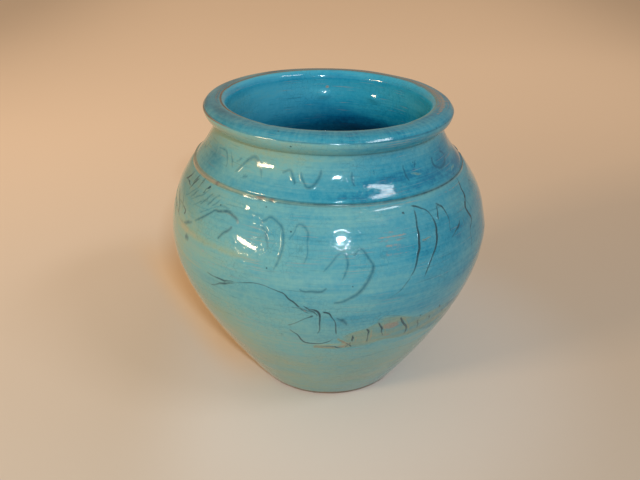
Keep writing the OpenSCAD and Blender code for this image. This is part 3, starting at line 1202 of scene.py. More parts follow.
@dataclass(frozen=True)
class GlazeFinish:
    """A glossy alkaline glaze: its colour follows its thickness, streaked by the wheel and crazed."""

    name: str
    stops: Stops = GLAZE_STOPS
    streak: float = 0.25
    ink: Colour = (0.010, 0.052, 0.075)
    clay: Colour = (0.350, 0.262, 0.190)
    crack: Colour = (0.62, 0.66, 0.66)
    crack_cells: float = 340.0
    crack_wide: Span = (0.010, 0.055)
    crack_shake: float = 0.0022
    speck_cells: float = 150.0
    speck_wide: Span = (0.05, 0.11)
    speck_pick: Span = (0.93, 0.94)
    fine_lines: Span = (14.0, 620.0)
    wide_lines: Span = (9.0, 150.0)
    pink_lines: Span = (28.0, 1300.0)
    dark_lines: Span = (40.0, 900.0)
    run_lines: Span = (300.0, 26.0)
    blotch_scale: float = 55.0
    grain_scale: float = 330.0
    skin: float = 0.00016
    gloss: float = 0.06

    def material(self) -> Material:
        """Builds the material from the attributes throw, coat, worn, ink and runs.

        Returns:
            The material
        """
        tree = Tree(self.name)
        throw = tree.attribute("throw", vector=True)
        place = tree.object_place()
        fine = tree.streaks(throw, self.fine_lines)
        wide = tree.streaks(throw, self.wide_lines, 2.0, 0.5)
        blotch = tree.noise(place, self.blotch_scale, 3.0, 0.6)
        grains = tree.noise(place, self.grain_scale, 3.0, 0.65)
        coat = tree.attribute("coat") + (fine - 0.5) * self.streak
        coat = coat + (wide - 0.5) * (1.1 * self.streak) + (blotch - 0.5) * (0.8 * self.streak)
        coat = coat + (grains - 0.5) * (1.2 * self.streak)
        run = tree.streaks(throw, self.run_lines)
        coat = coat + tree.attribute("runs") * ((run - 0.5) * (1.3 * self.streak))
        colour = tree.ramp(coat, self.stops)
        worn = (tree.attribute("worn") + (fine - 0.5) * 1.0 + (grains - 0.5) * 0.7).over(0.42, 0.78)
        colour = tree.mix(worn * 0.75, colour, self.clay)
        pink = tree.streaks(throw, self.pink_lines, 2.0, 0.5)
        dark = tree.streaks(throw, self.dark_lines)
        patchy = blotch.over(0.42, 0.66)
        colour = tree.mix(pink.over(0.58, 0.72) * patchy * 0.38, colour, self.clay)
        colour = tree.mix(dark.over(0.58, 0.74) * (1.0 - patchy * 0.5) * 0.30, colour, self.ink)
        craze = self._cracks(tree, place)
        colour = tree.mix(craze * 0.55, colour, self.crack, "MULTIPLY")
        # ink: the cut lines and dark glaze, with painted shade in the groove, on the rim's left and deep inside
        ink = tree.attribute("ink") * (0.45 + grains * 1.1)
        colour = tree.mix(self._specks(tree, place) * 0.8, colour, self.ink)
        colour = tree.mix(ink, colour, self.ink)
        normal = tree.bump(fine * 0.12 + blotch * 0.45 - craze * 0.12, self.skin, 0.8)
        tree.dress(base_color=colour, normal=normal, ior=1.5,
                   roughness=self.gloss + worn * 0.16 + craze * 0.05 + ink * 0.22)
        return tree.material

    def _cracks(self, tree: Tree, place: Socket) -> Shade:
        """The net of cracks.

        Args:
            tree: the material's tree
            place: the point

        Returns:
            1 on the edges of shaken cells, in patches
        """
        shaken = tree.node("ShaderNodeVectorMath", {"operation": "MULTIPLY_ADD"}, {
            0: tree.node("ShaderNodeTexNoise", None, {"Vector": place, "Scale": 260.0}).outputs["Color"],
            1: (self.crack_shake,) * 3, 2: place}).outputs["Vector"]
        edges = tree.cells(shaken, self.crack_cells, "DISTANCE_TO_EDGE").outputs["Distance"]
        return (1.0 - Shade(tree, edges).over(*self.crack_wide)) * tree.noise(place, 38.0).over(0.35, 0.70)

    def _specks(self, tree: Tree, place: Socket) -> Shade:
        """Dark specks.

        Args:
            tree: the material's tree
            place: the point

        Returns:
            1 in the middles of a few cells, picked by their red
        """
        dots = tree.cells(place, self.speck_cells)
        pick = tree.node("ShaderNodeSeparateColor", None, {"Color": dots.outputs["Color"]})
        round_one = 1.0 - Shade(tree, dots.outputs["Distance"]).over(*self.speck_wide)
        return round_one * Shade(tree, pick.outputs["Red"]).over(*self.speck_pick)


@dataclass(frozen=True)
class ClayFinish:
    """Fired clay: grainy, with iron specks and uneven firing."""

    name: str
    pale: Colour
    dark: Colour
    rough: float = 0.78
    speck: Colour = (0.12, 0.07, 0.045)
    speck_cells: float = 420.0
    speck_wide: Span = (0.10, 0.22)
    cloud_scale: float = 70.0
    grain_scale: float = 1600.0
    skin: float = 0.00025

    def material(self) -> Material:
        """Builds the material on object coordinates.

        Returns:
            The material
        """
        tree = Tree(self.name)
        place = tree.object_place()
        cloud = tree.noise(place, self.cloud_scale, 3.0, 0.6)
        grain = tree.noise(place, self.grain_scale, 2.0)
        colour = tree.ramp(cloud * 0.7 + grain * 0.3, ((0.30, self.dark), (0.70, self.pale)))
        dots = tree.cells(place, self.speck_cells)
        speck = 1.0 - Shade(tree, dots.outputs["Distance"]).over(*self.speck_wide)
        colour = tree.mix(speck * 0.55, colour, self.speck)
        normal = tree.bump(grain * 0.7 + cloud, self.skin, 0.7)
        tree.dress(base_color=colour, roughness=self.rough - cloud * 0.12, normal=normal, ior=1.5)
        return tree.material


@dataclass(frozen=True)
class FloorFinish:
    """Plain pale paper with painted light: brighter and warmer towards the back, and painted shade to
    the right and in the far corners.

    It is whiter round the vase, as painted light, and has a painted shadow of the flash along the
    vase's left side, warm where the window still lights it.
    """

    name: str
    # near, far and beside are the paper's colours with painted light; the warm colour after them is a painted
    # shadow of the flash
    near: Colour
    far: Colour
    beside: Colour
    painted_warm_shadow: Colour
    dust: Colour = (0.50, 0.42, 0.34)
    shade: Colour = (0.0, 0.0, 0.0)
    painted_right_shade: float = 0.36
    painted_corner_shade: float = 0.30

    def material(self) -> Material:
        """Builds the material on object coordinates.

        Returns:
            The material
        """
        tree = Tree(self.name)
        place = tree.object_place()
        axes = tree.node("ShaderNodeSeparateXYZ", None, {"Vector": place})
        x, y = Shade(tree, axes.outputs["X"]), Shade(tree, axes.outputs["Y"])
        # painted light: brighter and warmer towards the back; painted shade in the far corners
        back = y.over(-0.30, 0.55)
        corner = (x * x).over(0.05, 0.55) * y.over(0.2, 1.2)
        fibre = tree.noise(place, 900.0, 2.0)
        cloud = tree.noise(place, 3.0, 2.0)
        colour = tree.mix(back, self.near, self.far)
        # painted light round the vase, at its front and right
        beside = (1.0 - (x * x + y * y).over(0.0, 0.045)) * x.over(-0.14, -0.06)
        colour = tree.mix(beside * 0.7, colour, self.beside)
        # painted shadow of the flash along the vase's left side, warm where the window still lights it
        painted_warm_shadow = (x + y * 0.53).over(-0.096, -0.066) * (1.0 - x.over(-0.05, 0.0))
        painted_warm_shadow = painted_warm_shadow * y.over(-0.05, 0.02) * (1.0 - y.over(0.09, 0.20))
        colour = tree.mix(painted_warm_shadow * 0.70, colour, self.painted_warm_shadow)
        # painted shade to the right, less towards the back
        right = x.over(-0.45, 0.45) * (1.0 - y.over(0.1, 0.9) * 0.85)
        colour = tree.mix(right * self.painted_right_shade, colour, self.shade)
        colour = tree.mix(corner * self.painted_corner_shade, colour, self.shade)
        colour = tree.mix(0.05 + cloud * 0.05, colour, self.dust)
        normal = tree.bump(fibre, 0.00006, 0.5)
        tree.dress(base_color=colour, roughness=0.85 + fibre * 0.1, normal=normal, ior=1.3)
        return tree.material


# Sub-assemblies of the vase


@dataclass
class Piece:
    """A finished object with what it stands for."""

    thing: bpy.types.Object
    slot: Slot
    nodes: Tuple[str, ...] = ()
    look: Optional[Slot] = None

    def settle(self, looks: Dict[Slot, Material]) -> None:
        """Dresses the piece as its slot, or as its look where it has one, and hangs it on its body.

        Args:
            looks: the material of each slot
        """
        self.thing.data.materials.append(looks[self.look or self.slot])
        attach(self.thing, BODY)
        for node in self.nodes:
            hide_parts(node)
        log.info("%s: %d faces, stands for %s", self.thing.name, len(self.thing.data.polygons),
                 ", ".join(self.nodes) or "no node")


@dataclass
class ClaySections:
    """The thrown bowl, the collar, the rim coil, the foot ring and the slip that lutes them."""

    turnery: Turnery
    shoulder_lap: float = 0.005
    rim_lap: float = 0.0045
    fine_around: int = 384
    coarse_around: int = 192
    step: float = 0.0012
    rim_step_along: float = 0.0003
    foot_step_along: float = 0.0004
    foot_bevel: float = 0.0006

    def __post_init__(self) -> None:
        """Works out the stepped joints in the wall, each from the outside to the inside."""
        line = self.turnery.outline
        glaze, slip = line.glaze_t, line.slip_t
        self.seam_s = line.place["seam"]
        self.neck_s = line.place["neck"]
        seam_z = float(line.at(np.array(self.seam_s), glaze)[1])
        neck_z = float(line.at(np.array(self.neck_s), glaze)[1])
        lap_gap = slip / math.cos(line.shoulder_slope * DEG)
        outer = lambda z: line.clay_r(z, "belly", "neck")
        inner = lambda z: line.clay_r(z, "throat", "inner_belly")
        middle = lambda z: 0.5 * (outer(z)[1] + inner(z)[1])
        low = seam_z - self.shoulder_lap
        high = neck_z + self.rim_lap
        joint_r = middle(neck_z - slip)
        self.body_out = outer(seam_z)[0]
        self.body_in = inner(low)[0]
        self.collar_low_out = outer(seam_z + slip)[0]
        self.collar_low_in = inner(low + slip)[0]
        self.collar_high_out = outer(neck_z - slip)[0]
        self.collar_high_in = inner(high - slip)[0]
        self.rim_in = inner(high)[0]
        self.body_step = np.array([[middle(seam_z), seam_z], [middle(low), low]])
        self.collar_low_step = np.array([
            [middle(seam_z + slip) - lap_gap, seam_z + slip],
            [middle(low + slip) - lap_gap, low + slip]])
        self.collar_high_step = np.array([[joint_r, neck_z - slip], [joint_r, high - slip]])
        self.rim_step = np.array([[joint_r + slip, neck_z], [joint_r + slip, high]])

    def _clay(self, first: float, last: float, step: Optional[float] = None) -> Tuple[Array, Array]:
        """Points of the clay's surface between two places, and those places."""
        along = np.linspace(first, last, max(2, int(abs(last - first) / (step or self.step)) + 1))
        return self.turnery.outline.at(along, self.turnery.glazing.clay_depth(along)), along

    @staticmethod
    def _joined(*parts: Tuple[Array, Union[Array, float]]) -> Section:
        """One section from stretches of points, the same at every turn.

        Args:
            parts: points with their places, or with one place for all of them

        Returns:
            The function of turns that Turnery.turned takes
        """
        points = np.concatenate([part[0] for part in parts])
        along = np.concatenate([np.broadcast_to(part[1], len(part[0])) for part in parts])

        def section(turn: Array) -> Tuple[Array, Array]:
            """The same section at each turn."""
            count = turn.shape[0]
            return (np.broadcast_to(points, (count, *points.shape)),
                    np.broadcast_to(along, (count, along.size)))

        return section

    def build(self) -> List[Piece]:
        """Makes the seven pieces of clay and slip, all but the cordon.

        Returns:
            The pieces, undressed
        """
        line = self.turnery.outline
        turned = self.turnery.turned
        end = line.length
        base_out = line.clay_r(line.base_z, "foot", "belly")[0]
        ring_out = line.clay_r(line.foot_ring_h, "foot", "belly")[0]
        ring_r = line.foot_r - line.foot_ring_w
        bowl = self._joined(
            (np.array([[0.0, line.base_z], [ring_r * 0.5, line.base_z]]), 0.0),
            self._clay(base_out, self.body_out), (self.body_step, self.body_out),
            self._clay(self.body_in, end))
        collar = self._joined(
            self._clay(self.collar_low_out, self.collar_high_out), (self.collar_high_step, self.neck_s),
            self._clay(self.collar_high_in, self.collar_low_in), (self.collar_low_step[::-1], self.seam_s))
        rim = self._joined(
            self._clay(self.neck_s, self.rim_in, self.rim_step_along), (self.rim_step[::-1], self.rim_in))
        bevel = self.foot_bevel
        ring = self._joined(
            (np.array([[ring_r + bevel, bevel], [ring_r + 2 * bevel, 0.0],
                       [line.foot_r - 2 * bevel, 0.0]]), 0.0),
            self._clay(self.foot_step_along, ring_out, self.foot_step_along),
            (np.array([[ring_r, line.foot_ring_h]]), ring_out))
        foot_slip = self._joined(
            (np.array([[ring_r, line.foot_ring_h]]), ring_out), self._clay(ring_out, base_out),
            (np.array([[ring_r, line.base_z]]), base_out))
        shoulder_slip = self._joined(
            self._ends(self.body_out), (self.body_step, self.seam_s), self._ends(self.body_in),
            self._ends(self.collar_low_in), (self.collar_low_step[::-1], self.seam_s),
            self._ends(self.collar_low_out))
        rim_slip = self._joined(
            self._ends(self.collar_high_out), (self.collar_high_step, self.neck_s),
            self._ends(self.collar_high_in), self._ends(self.rim_in),
            (self.rim_step[::-1], self.neck_s), self._ends(self.neck_s))
        few, many = self.coarse_around, self.fine_around
        return [
            Piece(turned("bowl_clay", bowl, few, poles=True), Slot.CLAY, ("thrown_body",)),
            Piece(turned("collar_clay", collar, few), Slot.CLAY, ("shoulder_collar",)),
            Piece(turned("rim_coil", rim, many), Slot.CLAY, ("rolled_rim",)),
            Piece(turned("foot_turned", ring, many), Slot.WORN_CLAY, ("foot_ring",)),
            Piece(turned("foot_slip", foot_slip, few), Slot.SLIP, ("foot_slip_seam",)),
            Piece(turned("shoulder_slip", shoulder_slip, few), Slot.SLIP, ("shoulder_slip_seam",)),
            Piece(turned("rim_slip", rim_slip, few), Slot.SLIP, ("rim_slip_seam",)),
        ]

    def _ends(self, along: float) -> Tuple[Array, float]:
        """The one point of the clay's surface at a place."""
        spot = np.array([along])
        return self.turnery.outline.at(spot, self.turnery.glazing.clay_depth(spot)), along


@dataclass
class Cordon:
    """The raised line of clay pressed over the shoulder seam, thinly glazed and rubbed."""

    turnery: Turnery
    proud: float = 0.0008
    around: int = 480
    points: int = 15
    margin: float = 0.0004
    left: Span = (-72.0, 34.0)
    front: Span = (4.0, 26.0)
    right: Ramp = Ramp(0.0, 1.0, -0.1, 0.7)
    uneven: Waver = Waver(0.00018, 5, 40, 21, 14)
    drift: Waver = Waver(0.00035, 1, 4, 22, 4)
    chip_turns: Row = (-27, -22, -50, 96, 158, 231)
    chip_wide: Row = (2, 1, 0.9, 2, 1.4, 2.2)

    def _chipped(self, turn: Array) -> Array:
        """1 where a flake has come off the ridge, as bells."""
        flakes = [turn_bell(turn, middle, wide) for middle, wide in zip(self.chip_turns, self.chip_wide)]
        return np.max(flakes, axis=0)

    def section(self, turn: Array) -> Tuple[Array, Array]:
        """The ridge: its height is a squared cosine across, uneven along, with flakes off it.

        Args:
            turn: angles of shape (n, 1)

        Returns:
            The closed section at each turn, and its places
        """
        line = self.turnery.outline
        across = np.linspace(-1.0, 1.0, self.points)[None, :]
        half = 0.5 * line.cordon_w + self.margin
        middle = line.place["seam"] + self.drift(turn)
        along = middle + half * across
        ridge = np.cos(0.5 * math.pi * across) ** 2
        furrow = 0.22 * hill(across, -0.35, 0.12)
        proud = (self.proud + self.uneven(turn)) * (1.0 - 0.75 * self._chipped(turn))
        depth = 0.0002 - proud * (ridge - furrow)
        face = line.at(along, depth)
        back = along[:, ::-1]
        under = line.at(back, np.full(back.shape, line.glaze_t + 0.0001))
        return np.concatenate([face, under], 1), np.concatenate([along, back], 1)

    def values(self, turn: Array, along: Array) -> Attributes:
        """Thin glaze, worn along the crest at the left, dark along it at the right, bare in the flakes.

        Args:
            turn, along: angles, and places on the outline

        Returns:
            The attributes that the glaze's finish reads, from bells over the distance from the crest
        """
        glazing = self.turnery.glazing
        offset = (along - self.turnery.outline.place["seam"] - self.drift(turn)) / MM
        left = turn_bell(turn, *self.left)
        right = self.right(glazing.rightward(turn))
        front = turn_bell(turn, *self.front)
        crest = hill(offset, 0.1, 0.62 + 1.18 * left)
        beside = hill(offset, -0.95, 0.34) + 0.6 * hill(offset, 1.05, 0.34)
        flake = self._chipped(turn)
        coat = glazing.coat(turn, along) * (1.0 - 0.75 * left * crest) - 0.20 * crest
        worn = crest * (0.46 - 0.20 * left) * (1.0 - 0.7 * right)
        worn = worn * (1.0 - 0.6 * front) + (0.50 * right + 0.34 * front) * hill(offset, -0.95, 0.32)
        worn = worn + 0.8 * flake * hill(offset, 0.0, 1.2)
        ink = 0.45 * beside * (0.62 + 0.38 * np.cos(3.0 * turn + 1.0)) * (1.0 - 0.6 * right)
        ink = ink + (0.85 * np.maximum(right, front) + 0.32 * left) * crest + 0.30 * flake
        return {"coat": np.clip(coat, 0.0, 1.0), "worn": np.clip(worn, 0.0, 1.0),
                "ink": np.clip(ink, 0.0, 1.0), "runs": np.zeros(turn.shape)}

    def build(self) -> List[Piece]:
        """Makes the ridge."""
        thing = self.turnery.turned("cordon_ridge", self.section, self.around, extra=self.values)
        return [Piece(thing, Slot.WORN_CLAY, ("shoulder_cordon",), Slot.TURQUOISE)]


@dataclass
class GlazeCoats:
    """The four fields of glaze between the bare lines."""

    turnery: Turnery
    around: int = 384
    body_step: float = 0.00072
    fine_step: float = 0.00045
    lining_step: float = 0.0016
    back_points: int = 14
    lining_bunch: float = 1.35
    foot_rise: float = 0.0006
    cordon_lap: float = 0.0008
    full_lap: float = 1.20
    edge_bare: float = 1.35
    lip_bare: float = 1.28
    foot_wave: Waver = Waver(0.0009, 2, 17, 31)
    cordon_wave: Waver = Waver(0.0003, 3, 21, 32)
    edge_wave: Waver = Waver(0.00035, 3, 24, 33, 12)
    lip_wave: Waver = Waver(0.00035, 3, 26, 34, 12)

    def field(self, first: Place, last: Place, count: int, lining: bool = False) -> Section:
        """A coat between two uneven lines: its face, then its back against the clay.

        Args:
            first, last: the lines, as places for each turn
            count: points along the face
            lining: whether the coat ends on the axis; its points are then closer at the lip,
                its back comes first, and its face has no thin edge at the end

        Returns:
            The function of turns that Turnery.turned takes
        """
        outline, glazing = self.turnery.outline, self.turnery.glazing
        bunch, backs = (self.lining_bunch, 3) if lining else (1.0, 1)
        share = np.linspace(0.0, 1.0, count)[None, :] ** bunch
        back_share = np.linspace(1.0, 0.0, backs * self.back_points)[None, :] ** bunch

        def section(turn: Array) -> Tuple[Array, Array]:
            """The coat's section.

            Args:
                turn: angles of shape (n, 1)

            Returns:
                The closed section at each turn, and its places
            """
            start, stop = first(turn), last(turn)
            along = start + (stop - start) * share
            behind = start + (stop - start) * back_share
            face = outline.at(along, glazing.face_depth(turn, along, start, stop + float(lining)))
            back = outline.at(behind, glazing.clay_depth(behind) + 2.0 * glazing.tuck)
            if not lining:
                return np.concatenate([face, back], 1), np.concatenate([along, behind], 1)
            face[:, -1, 0] = 0.0
            back[:, 0, 0] = 0.0
            return np.concatenate([back, face], 1), np.concatenate([behind, along], 1)

        return section

    def build(self) -> List[Piece]:
        """Makes the four coats.

        Returns:
            The pieces, undressed
        """
        line = self.turnery.outline
        place, bare = line.place, line.bare_w
        half = 0.5 * line.cordon_w
        foot = lambda turn: line.outside_at(bare) + self.foot_rise + self.foot_wave(turn)
        cordon_foot = lambda turn: place["seam"] - half + self.cordon_lap + self.cordon_wave(turn)
        cordon_top = lambda turn: place["seam"] + half - self.cordon_lap + self.cordon_wave(turn)
        edge_line, left = self.turnery.glazing.edge_line, self.turnery.glazing.leftness
        gap = lambda turn: bare * (self.edge_bare * left(turn) - self.full_lap)
        edge_below = lambda turn: edge_line - gap(turn) + 0.4 * self.edge_wave(turn)
        edge_above = lambda turn: edge_line + gap(turn) + 0.4 * self.edge_wave(turn + 0.05)
        lip_gap = lambda turn: bare * (self.lip_bare * left(turn) - self.full_lap)
        lip_out = lambda turn: place["lip"] - lip_gap(turn) + self.lip_wave(turn)
        lip_in = lambda turn: place["lip"] + lip_gap(turn) + self.lip_wave(turn + 0.04)
        rows = lambda first, last, step: int((last - first) / step)
        body = self.field(foot, cordon_foot, rows(0.0, place["seam"], self.body_step))
        shoulder = self.field(cordon_top, edge_below, rows(place["seam"], place["edge"], self.fine_step))
        rim = self.field(edge_above, lip_out, rows(place["edge"], place["lip"], self.fine_step * 0.7))
        axis = lambda turn: np.full(turn.shape, line.length)
        lining = self.field(lip_in, axis, rows(place["lip"], line.length, self.lining_step), lining=True)
        turned, extra = self.turnery.turned, self.turnery.glaze_values
        return [
            Piece(turned("belly_glaze", body, self.around, extra=extra), Slot.TURQUOISE, ("body_glaze",)),
            Piece(turned("neck_glaze", shoulder, self.around, extra=extra), Slot.POOLED, ("shoulder_glaze",)),
            Piece(turned("rim_top_glaze", rim, self.around, extra=extra), Slot.POOLED, ("rim_glaze",)),
            Piece(turned("inside_glaze", lining, self.around, True, extra), Slot.LINING, ("lining_glaze",)),
        ]


# Lines cut into the glaze


Knot = Tuple[float, float]
Strokes = Tuple["Stroke", ...]


@dataclass(frozen=True)
class Stroke:
    """One line of the drawing, through points given as (degrees to the right, millimetres up)."""

    knots: Tuple[Knot, ...]
    width: float
    ink: float
    tool: Tool
    heavy: float = 0.5

    def path(self, per_piece: int = 12) -> Tuple[Array, Array]:
        """A smooth run through the knots: on each piece a cubic whose slope at a knot is half
        the step between its two neighbours.

        Args:
            per_piece: points on each piece

        Returns:
            Turns in radians and heights in metres
        """
        knots = np.array(self.knots, dtype=float)
        slope = np.gradient(knots, axis=0)
        t = np.linspace(0.0, 1.0, per_piece, endpoint=False)[None, :, None]
        a, b = knots[:-1, None, :], knots[1:, None, :]
        m, n = slope[:-1, None, :], slope[1:, None, :]
        run = ((2 * t**3 - 3 * t**2 + 1) * a + (t**3 - 2 * t**2 + t) * m
               + (3 * t**2 - 2 * t**3) * b + (t**3 - t**2) * n)
        run = np.concatenate([run.reshape(-1, 2), knots[-1:]])
        return run[:, 0] * DEG, run[:, 1] * MM

    def moved(self, turn: float, up: float, flip: bool) -> "Stroke":
        """The same line elsewhere, turned round the vase, raised and perhaps mirrored."""
        knots = tuple((turn + (-x if flip else x), z + up) for x, z in self.knots)
        return replace(self, knots=knots)


def soft(width: float, ink: float, *knots: Knot) -> Stroke:
    """A broad soft line, pressed with a blunt tool."""
    return Stroke(knots, width, ink, Tool.BLUNT)


def sharp(width: float, ink: float, heavy: float, *knots: Knot) -> Stroke:
    """A thin dark line, pressed hardest at one share of its length."""
    return Stroke(knots, width, ink, Tool.POINT, heavy)


def scraped(width: float, *knots: Knot) -> Stroke:
    """A line scraped back to the clay, and stained since."""
    return Stroke(knots, width, 0.34, Tool.SCRAPER)


def painted_burr_highlight(width: float, *knots: Knot) -> Stroke:
    """A raised burr beside a cut, coloured pale: a painted highlight."""
    return Stroke(knots, width, 0.0, Tool.EDGE)


def dash(turn: float, low: float, lean: float, rise: float) -> Stroke:
    """A short soft stroke that leans to the right as it rises, bowed a little."""
    return soft(1.1, 0.4, (turn, low), (turn + 0.45 * lean, low + 0.55 * rise), (turn + lean, low + rise))


def wave(turn: float, low: float, high: float, half: float, lean: float) -> Stroke:
    """One crest of the shoulder's running wave."""
    return soft(1.2, 0.4, (turn - half, low), (turn - 0.5 * half, 0.5 * (low + high)), (turn + lean, high),
                (turn + 0.55 * half, 0.55 * low + 0.45 * high), (turn + half, low))


def dip(turn: float, low: float, high: float, half: float) -> Stroke:
    """One hollow of the shoulder's running wave."""
    return soft(1.2, 0.45, (turn - half, high), (turn - 0.6 * half, low + 0.3 * (high - low)), (turn, low),
                (turn + 0.6 * half, low + 0.25 * (high - low)), (turn + half, high))


SHOULDER_BAND: Strokes = (
    soft(1.1, 0.5, (-62, 164), (-55, 165), (-51, 161), (-50, 157)),
    soft(0.9, 0.45, (-51, 166), (-48, 162), (-46, 158)),
    soft(1, 0.4, (-45, 162), (-42, 165)),
    soft(1.3, 0.55, (-44, 157), (-42, 160), (-39, 164), (-36, 167), (-34, 167),
         (-32, 164), (-31, 162), (-29, 157)),
    soft(1.4, 0.45, (-39, 156.5), (-36, 157)),
    soft(1.2, 0.5, (-21, 162), (-17, 164), (-15, 160), (-14, 157)),
    soft(1.3, 0.62, (-12, 164), (-11, 160), (-9, 157), (-6, 158), (-4, 162), (-3, 166)),
    soft(1.1, 0.5, (10, 165), (10, 161), (11, 157)),
    soft(0.9, 0.25, (20, 165), (20, 162)),
    soft(1, 0.45, (35, 165), (35, 161), (36, 156)),
    soft(1, 0.35, (43, 166), (41, 162)),
    scraped(0.9, (38, 160), (44, 158)),
    soft(1.4, 0.55, (55, 165), (54, 160), (58, 157), (64, 158), (66, 162), (61, 165)),
    scraped(0.8, (64, 153), (70, 154)),
    wave(82, 158, 166, 7, 1),
    wave(97, 158, 165, 6, -1),
    dip(110, 157, 164, 5),
    wave(124, 158, 166, 7, 1),
    dash(137, 158, 1, 6),
    wave(150, 157, 165, 8, 0),
    dip(166, 158, 164, 5),
    wave(180, 158, 166, 7, -1),
    dash(193, 157, -2, 8),
    wave(207, 158, 165, 7, 1),
    dip(222, 157, 164, 5),
    wave(236, 158, 166, 6, 0),
    dash(250, 158, 2, 6),
    wave(265, 157, 165, 8, 1),
    dip(282, 158, 165, 5),
)

HATCH: Strokes = (
    sharp(1, 0.95, 0.5, (-74, 141), (-71, 144), (-69, 148)),
    sharp(1, 0.9, 0.5, (-66, 139), (-64, 144), (-62, 147)),
    sharp(0.9, 0.85, 0.5, (-65.5, 143), (-64, 146), (-63, 149)),
    sharp(0.9, 0.9, 0.8, (-60, 142), (-59, 145), (-58, 149)),
    sharp(1.1, 0.9, 0.9, (-55, 142), (-54, 145), (-52, 147)),
    sharp(1, 0.7, 0.5, (-59, 146.5), (-58, 149.5)),
    sharp(0.9, 0.8, 0.5, (-72, 142), (-69, 142), (-66, 141)),
    soft(0.9, 0.75, (-62, 137), (-60, 140), (-58, 143)),
    soft(1, 0.7, (-54, 137), (-52, 140), (-49, 145)),
    soft(1, 0.6, (-50, 138), (-48, 142), (-45, 146)),
    sharp(0.9, 0.65, 0.8, (-75, 127), (-71, 126), (-67, 124)),
    sharp(1, 0.8, 0.9, (-71, 131), (-63, 130), (-62, 127)),
    sharp(0.9, 0.7, 0.5, (-77, 128), (-74, 124), (-72, 120)),
    sharp(0.8, 0.65, 0.5, (-82, 133), (-80, 128), (-78, 122)),
    soft(0.9, 0.6, (-70, 137), (-67, 133), (-65, 128)),
    soft(2, 0.8, (-58.5, 117), (-57, 117), (-55.5, 117)),
    soft(0.8, 0.6, (-57, 147.5), (-60, 143), (-63.5, 138.5), (-67, 135)),
    soft(0.8, 0.62, (-51, 147), (-54, 142.5), (-58, 139), (-62, 135.5)),
    soft(0.8, 0.56, (-47.5, 145), (-51.5, 140.5), (-55, 137.5), (-59.5, 133.5)),
    soft(0.8, 0.5, (-44, 144), (-46.5, 140), (-49, 136.5), (-53, 132.5)),
    sharp(0.8, 0.85, 0.5, (-76.5, 134), (-70, 129.5), (-67, 123)),
    sharp(0.8, 0.8, 0.6, (-83.5, 129.5), (-77, 127), (-72, 125)),
)

LEAF: Strokes = (
    soft(1.3, 0.7, (-61, 123), (-58, 125), (-55, 127)),
    soft(1.2, 0.8, (-55, 127), (-49, 133), (-47, 135.5), (-45, 138), (-43, 138),
         (-39, 139.5), (-36, 138.5), (-34, 137), (-33, 134.5)),
    soft(1.1, 0.75, (-35, 133.5), (-37, 130.5), (-39, 128), (-40, 125)),
    soft(1, 0.35, (-49, 136), (-46, 139), (-42, 141), (-38, 141)),
)

ARCHES: Strokes = (
    soft(1.3, 0.5, (-25, 138), (-23, 140), (-21, 142), (-18, 140), (-16, 137),
         (-15, 130), (-16, 123), (-18, 116)),
    soft(1.1, 0.4, (-24, 137), (-22, 135), (-21, 131), (-20, 127)),
    soft(1.1, 0.36, (-14, 131), (-12, 136), (-11, 140), (-9, 140), (-7, 137), (-7, 132),
         (-7, 126), (-9, 118)),
    soft(1.1, 0.44, (-2, 118), (1, 123), (3, 127), (5, 128), (6, 123), (5, 117), (4, 113)),
    soft(1.3, 0.62, (7, 123), (9, 128), (11, 129), (13, 124), (14, 120), (13, 115),
         (11, 109), (9, 105), (7, 103), (4.5, 101), (2, 100), (0.5, 99.5)),
    soft(1, 0.6, (-9.5, 108), (-7.5, 107), (-5, 107), (-2, 107.5), (0, 110)),
    sharp(0.6, 0.4, 0.2, (27, 110), (25, 107), (23, 103), (21, 101), (19, 100)),
)

RIGHT_FLANK: Strokes = (
    sharp(1.1, 1.0, 0.45, (33, 145), (32.5, 140), (32, 136), (32, 132), (31.5, 128.5), (31, 125),
          (30, 122), (29, 117), (28, 113), (26, 109)),
    sharp(0.8, 0.8, 0.1, (32, 146), (35, 144.5), (37, 143), (39, 140.5), (40, 137)),
    sharp(1.1, 1.0, 0.4, (39.5, 139), (40, 135), (40, 132), (39.5, 130), (39, 127), (37.5, 122.5),
          (36, 119), (34.5, 115), (33, 111), (32, 108)),
    sharp(0.8, 0.85, 0.9, (44, 143.5), (43, 140), (42, 135.5)),
    sharp(1.3, 0.9, 0.4, (43.5, 143.5), (44.5, 142.5), (45.5, 141.5)),
    sharp(0.9, 0.9, 0, (44, 143.5), (46, 141), (47, 137.5), (47, 133.5), (46.5, 129.5), (46, 127)),
    sharp(0.9, 0.9, 0.7, (46, 124), (48.5, 126), (51, 128), (53, 131)),
    sharp(0.7, 0.55, 0.3, (55, 131), (55, 128), (55, 124)),
    sharp(1.1, 1.0, 0.35, (65, 149), (63, 144), (62.5, 140), (59.5, 135), (60, 131), (61, 127.5),
          (60, 125), (58, 121.5), (58, 116), (58, 105)),
    scraped(0.6, (32.5, 128.5), (34, 128.5), (37, 129)),
    sharp(0.4, 0.7, 0.5, (32.5, 128), (34, 128), (35.5, 128.5)),
    sharp(0.9, 0.8, 0.5, (27.5, 144), (28.5, 143)),
)

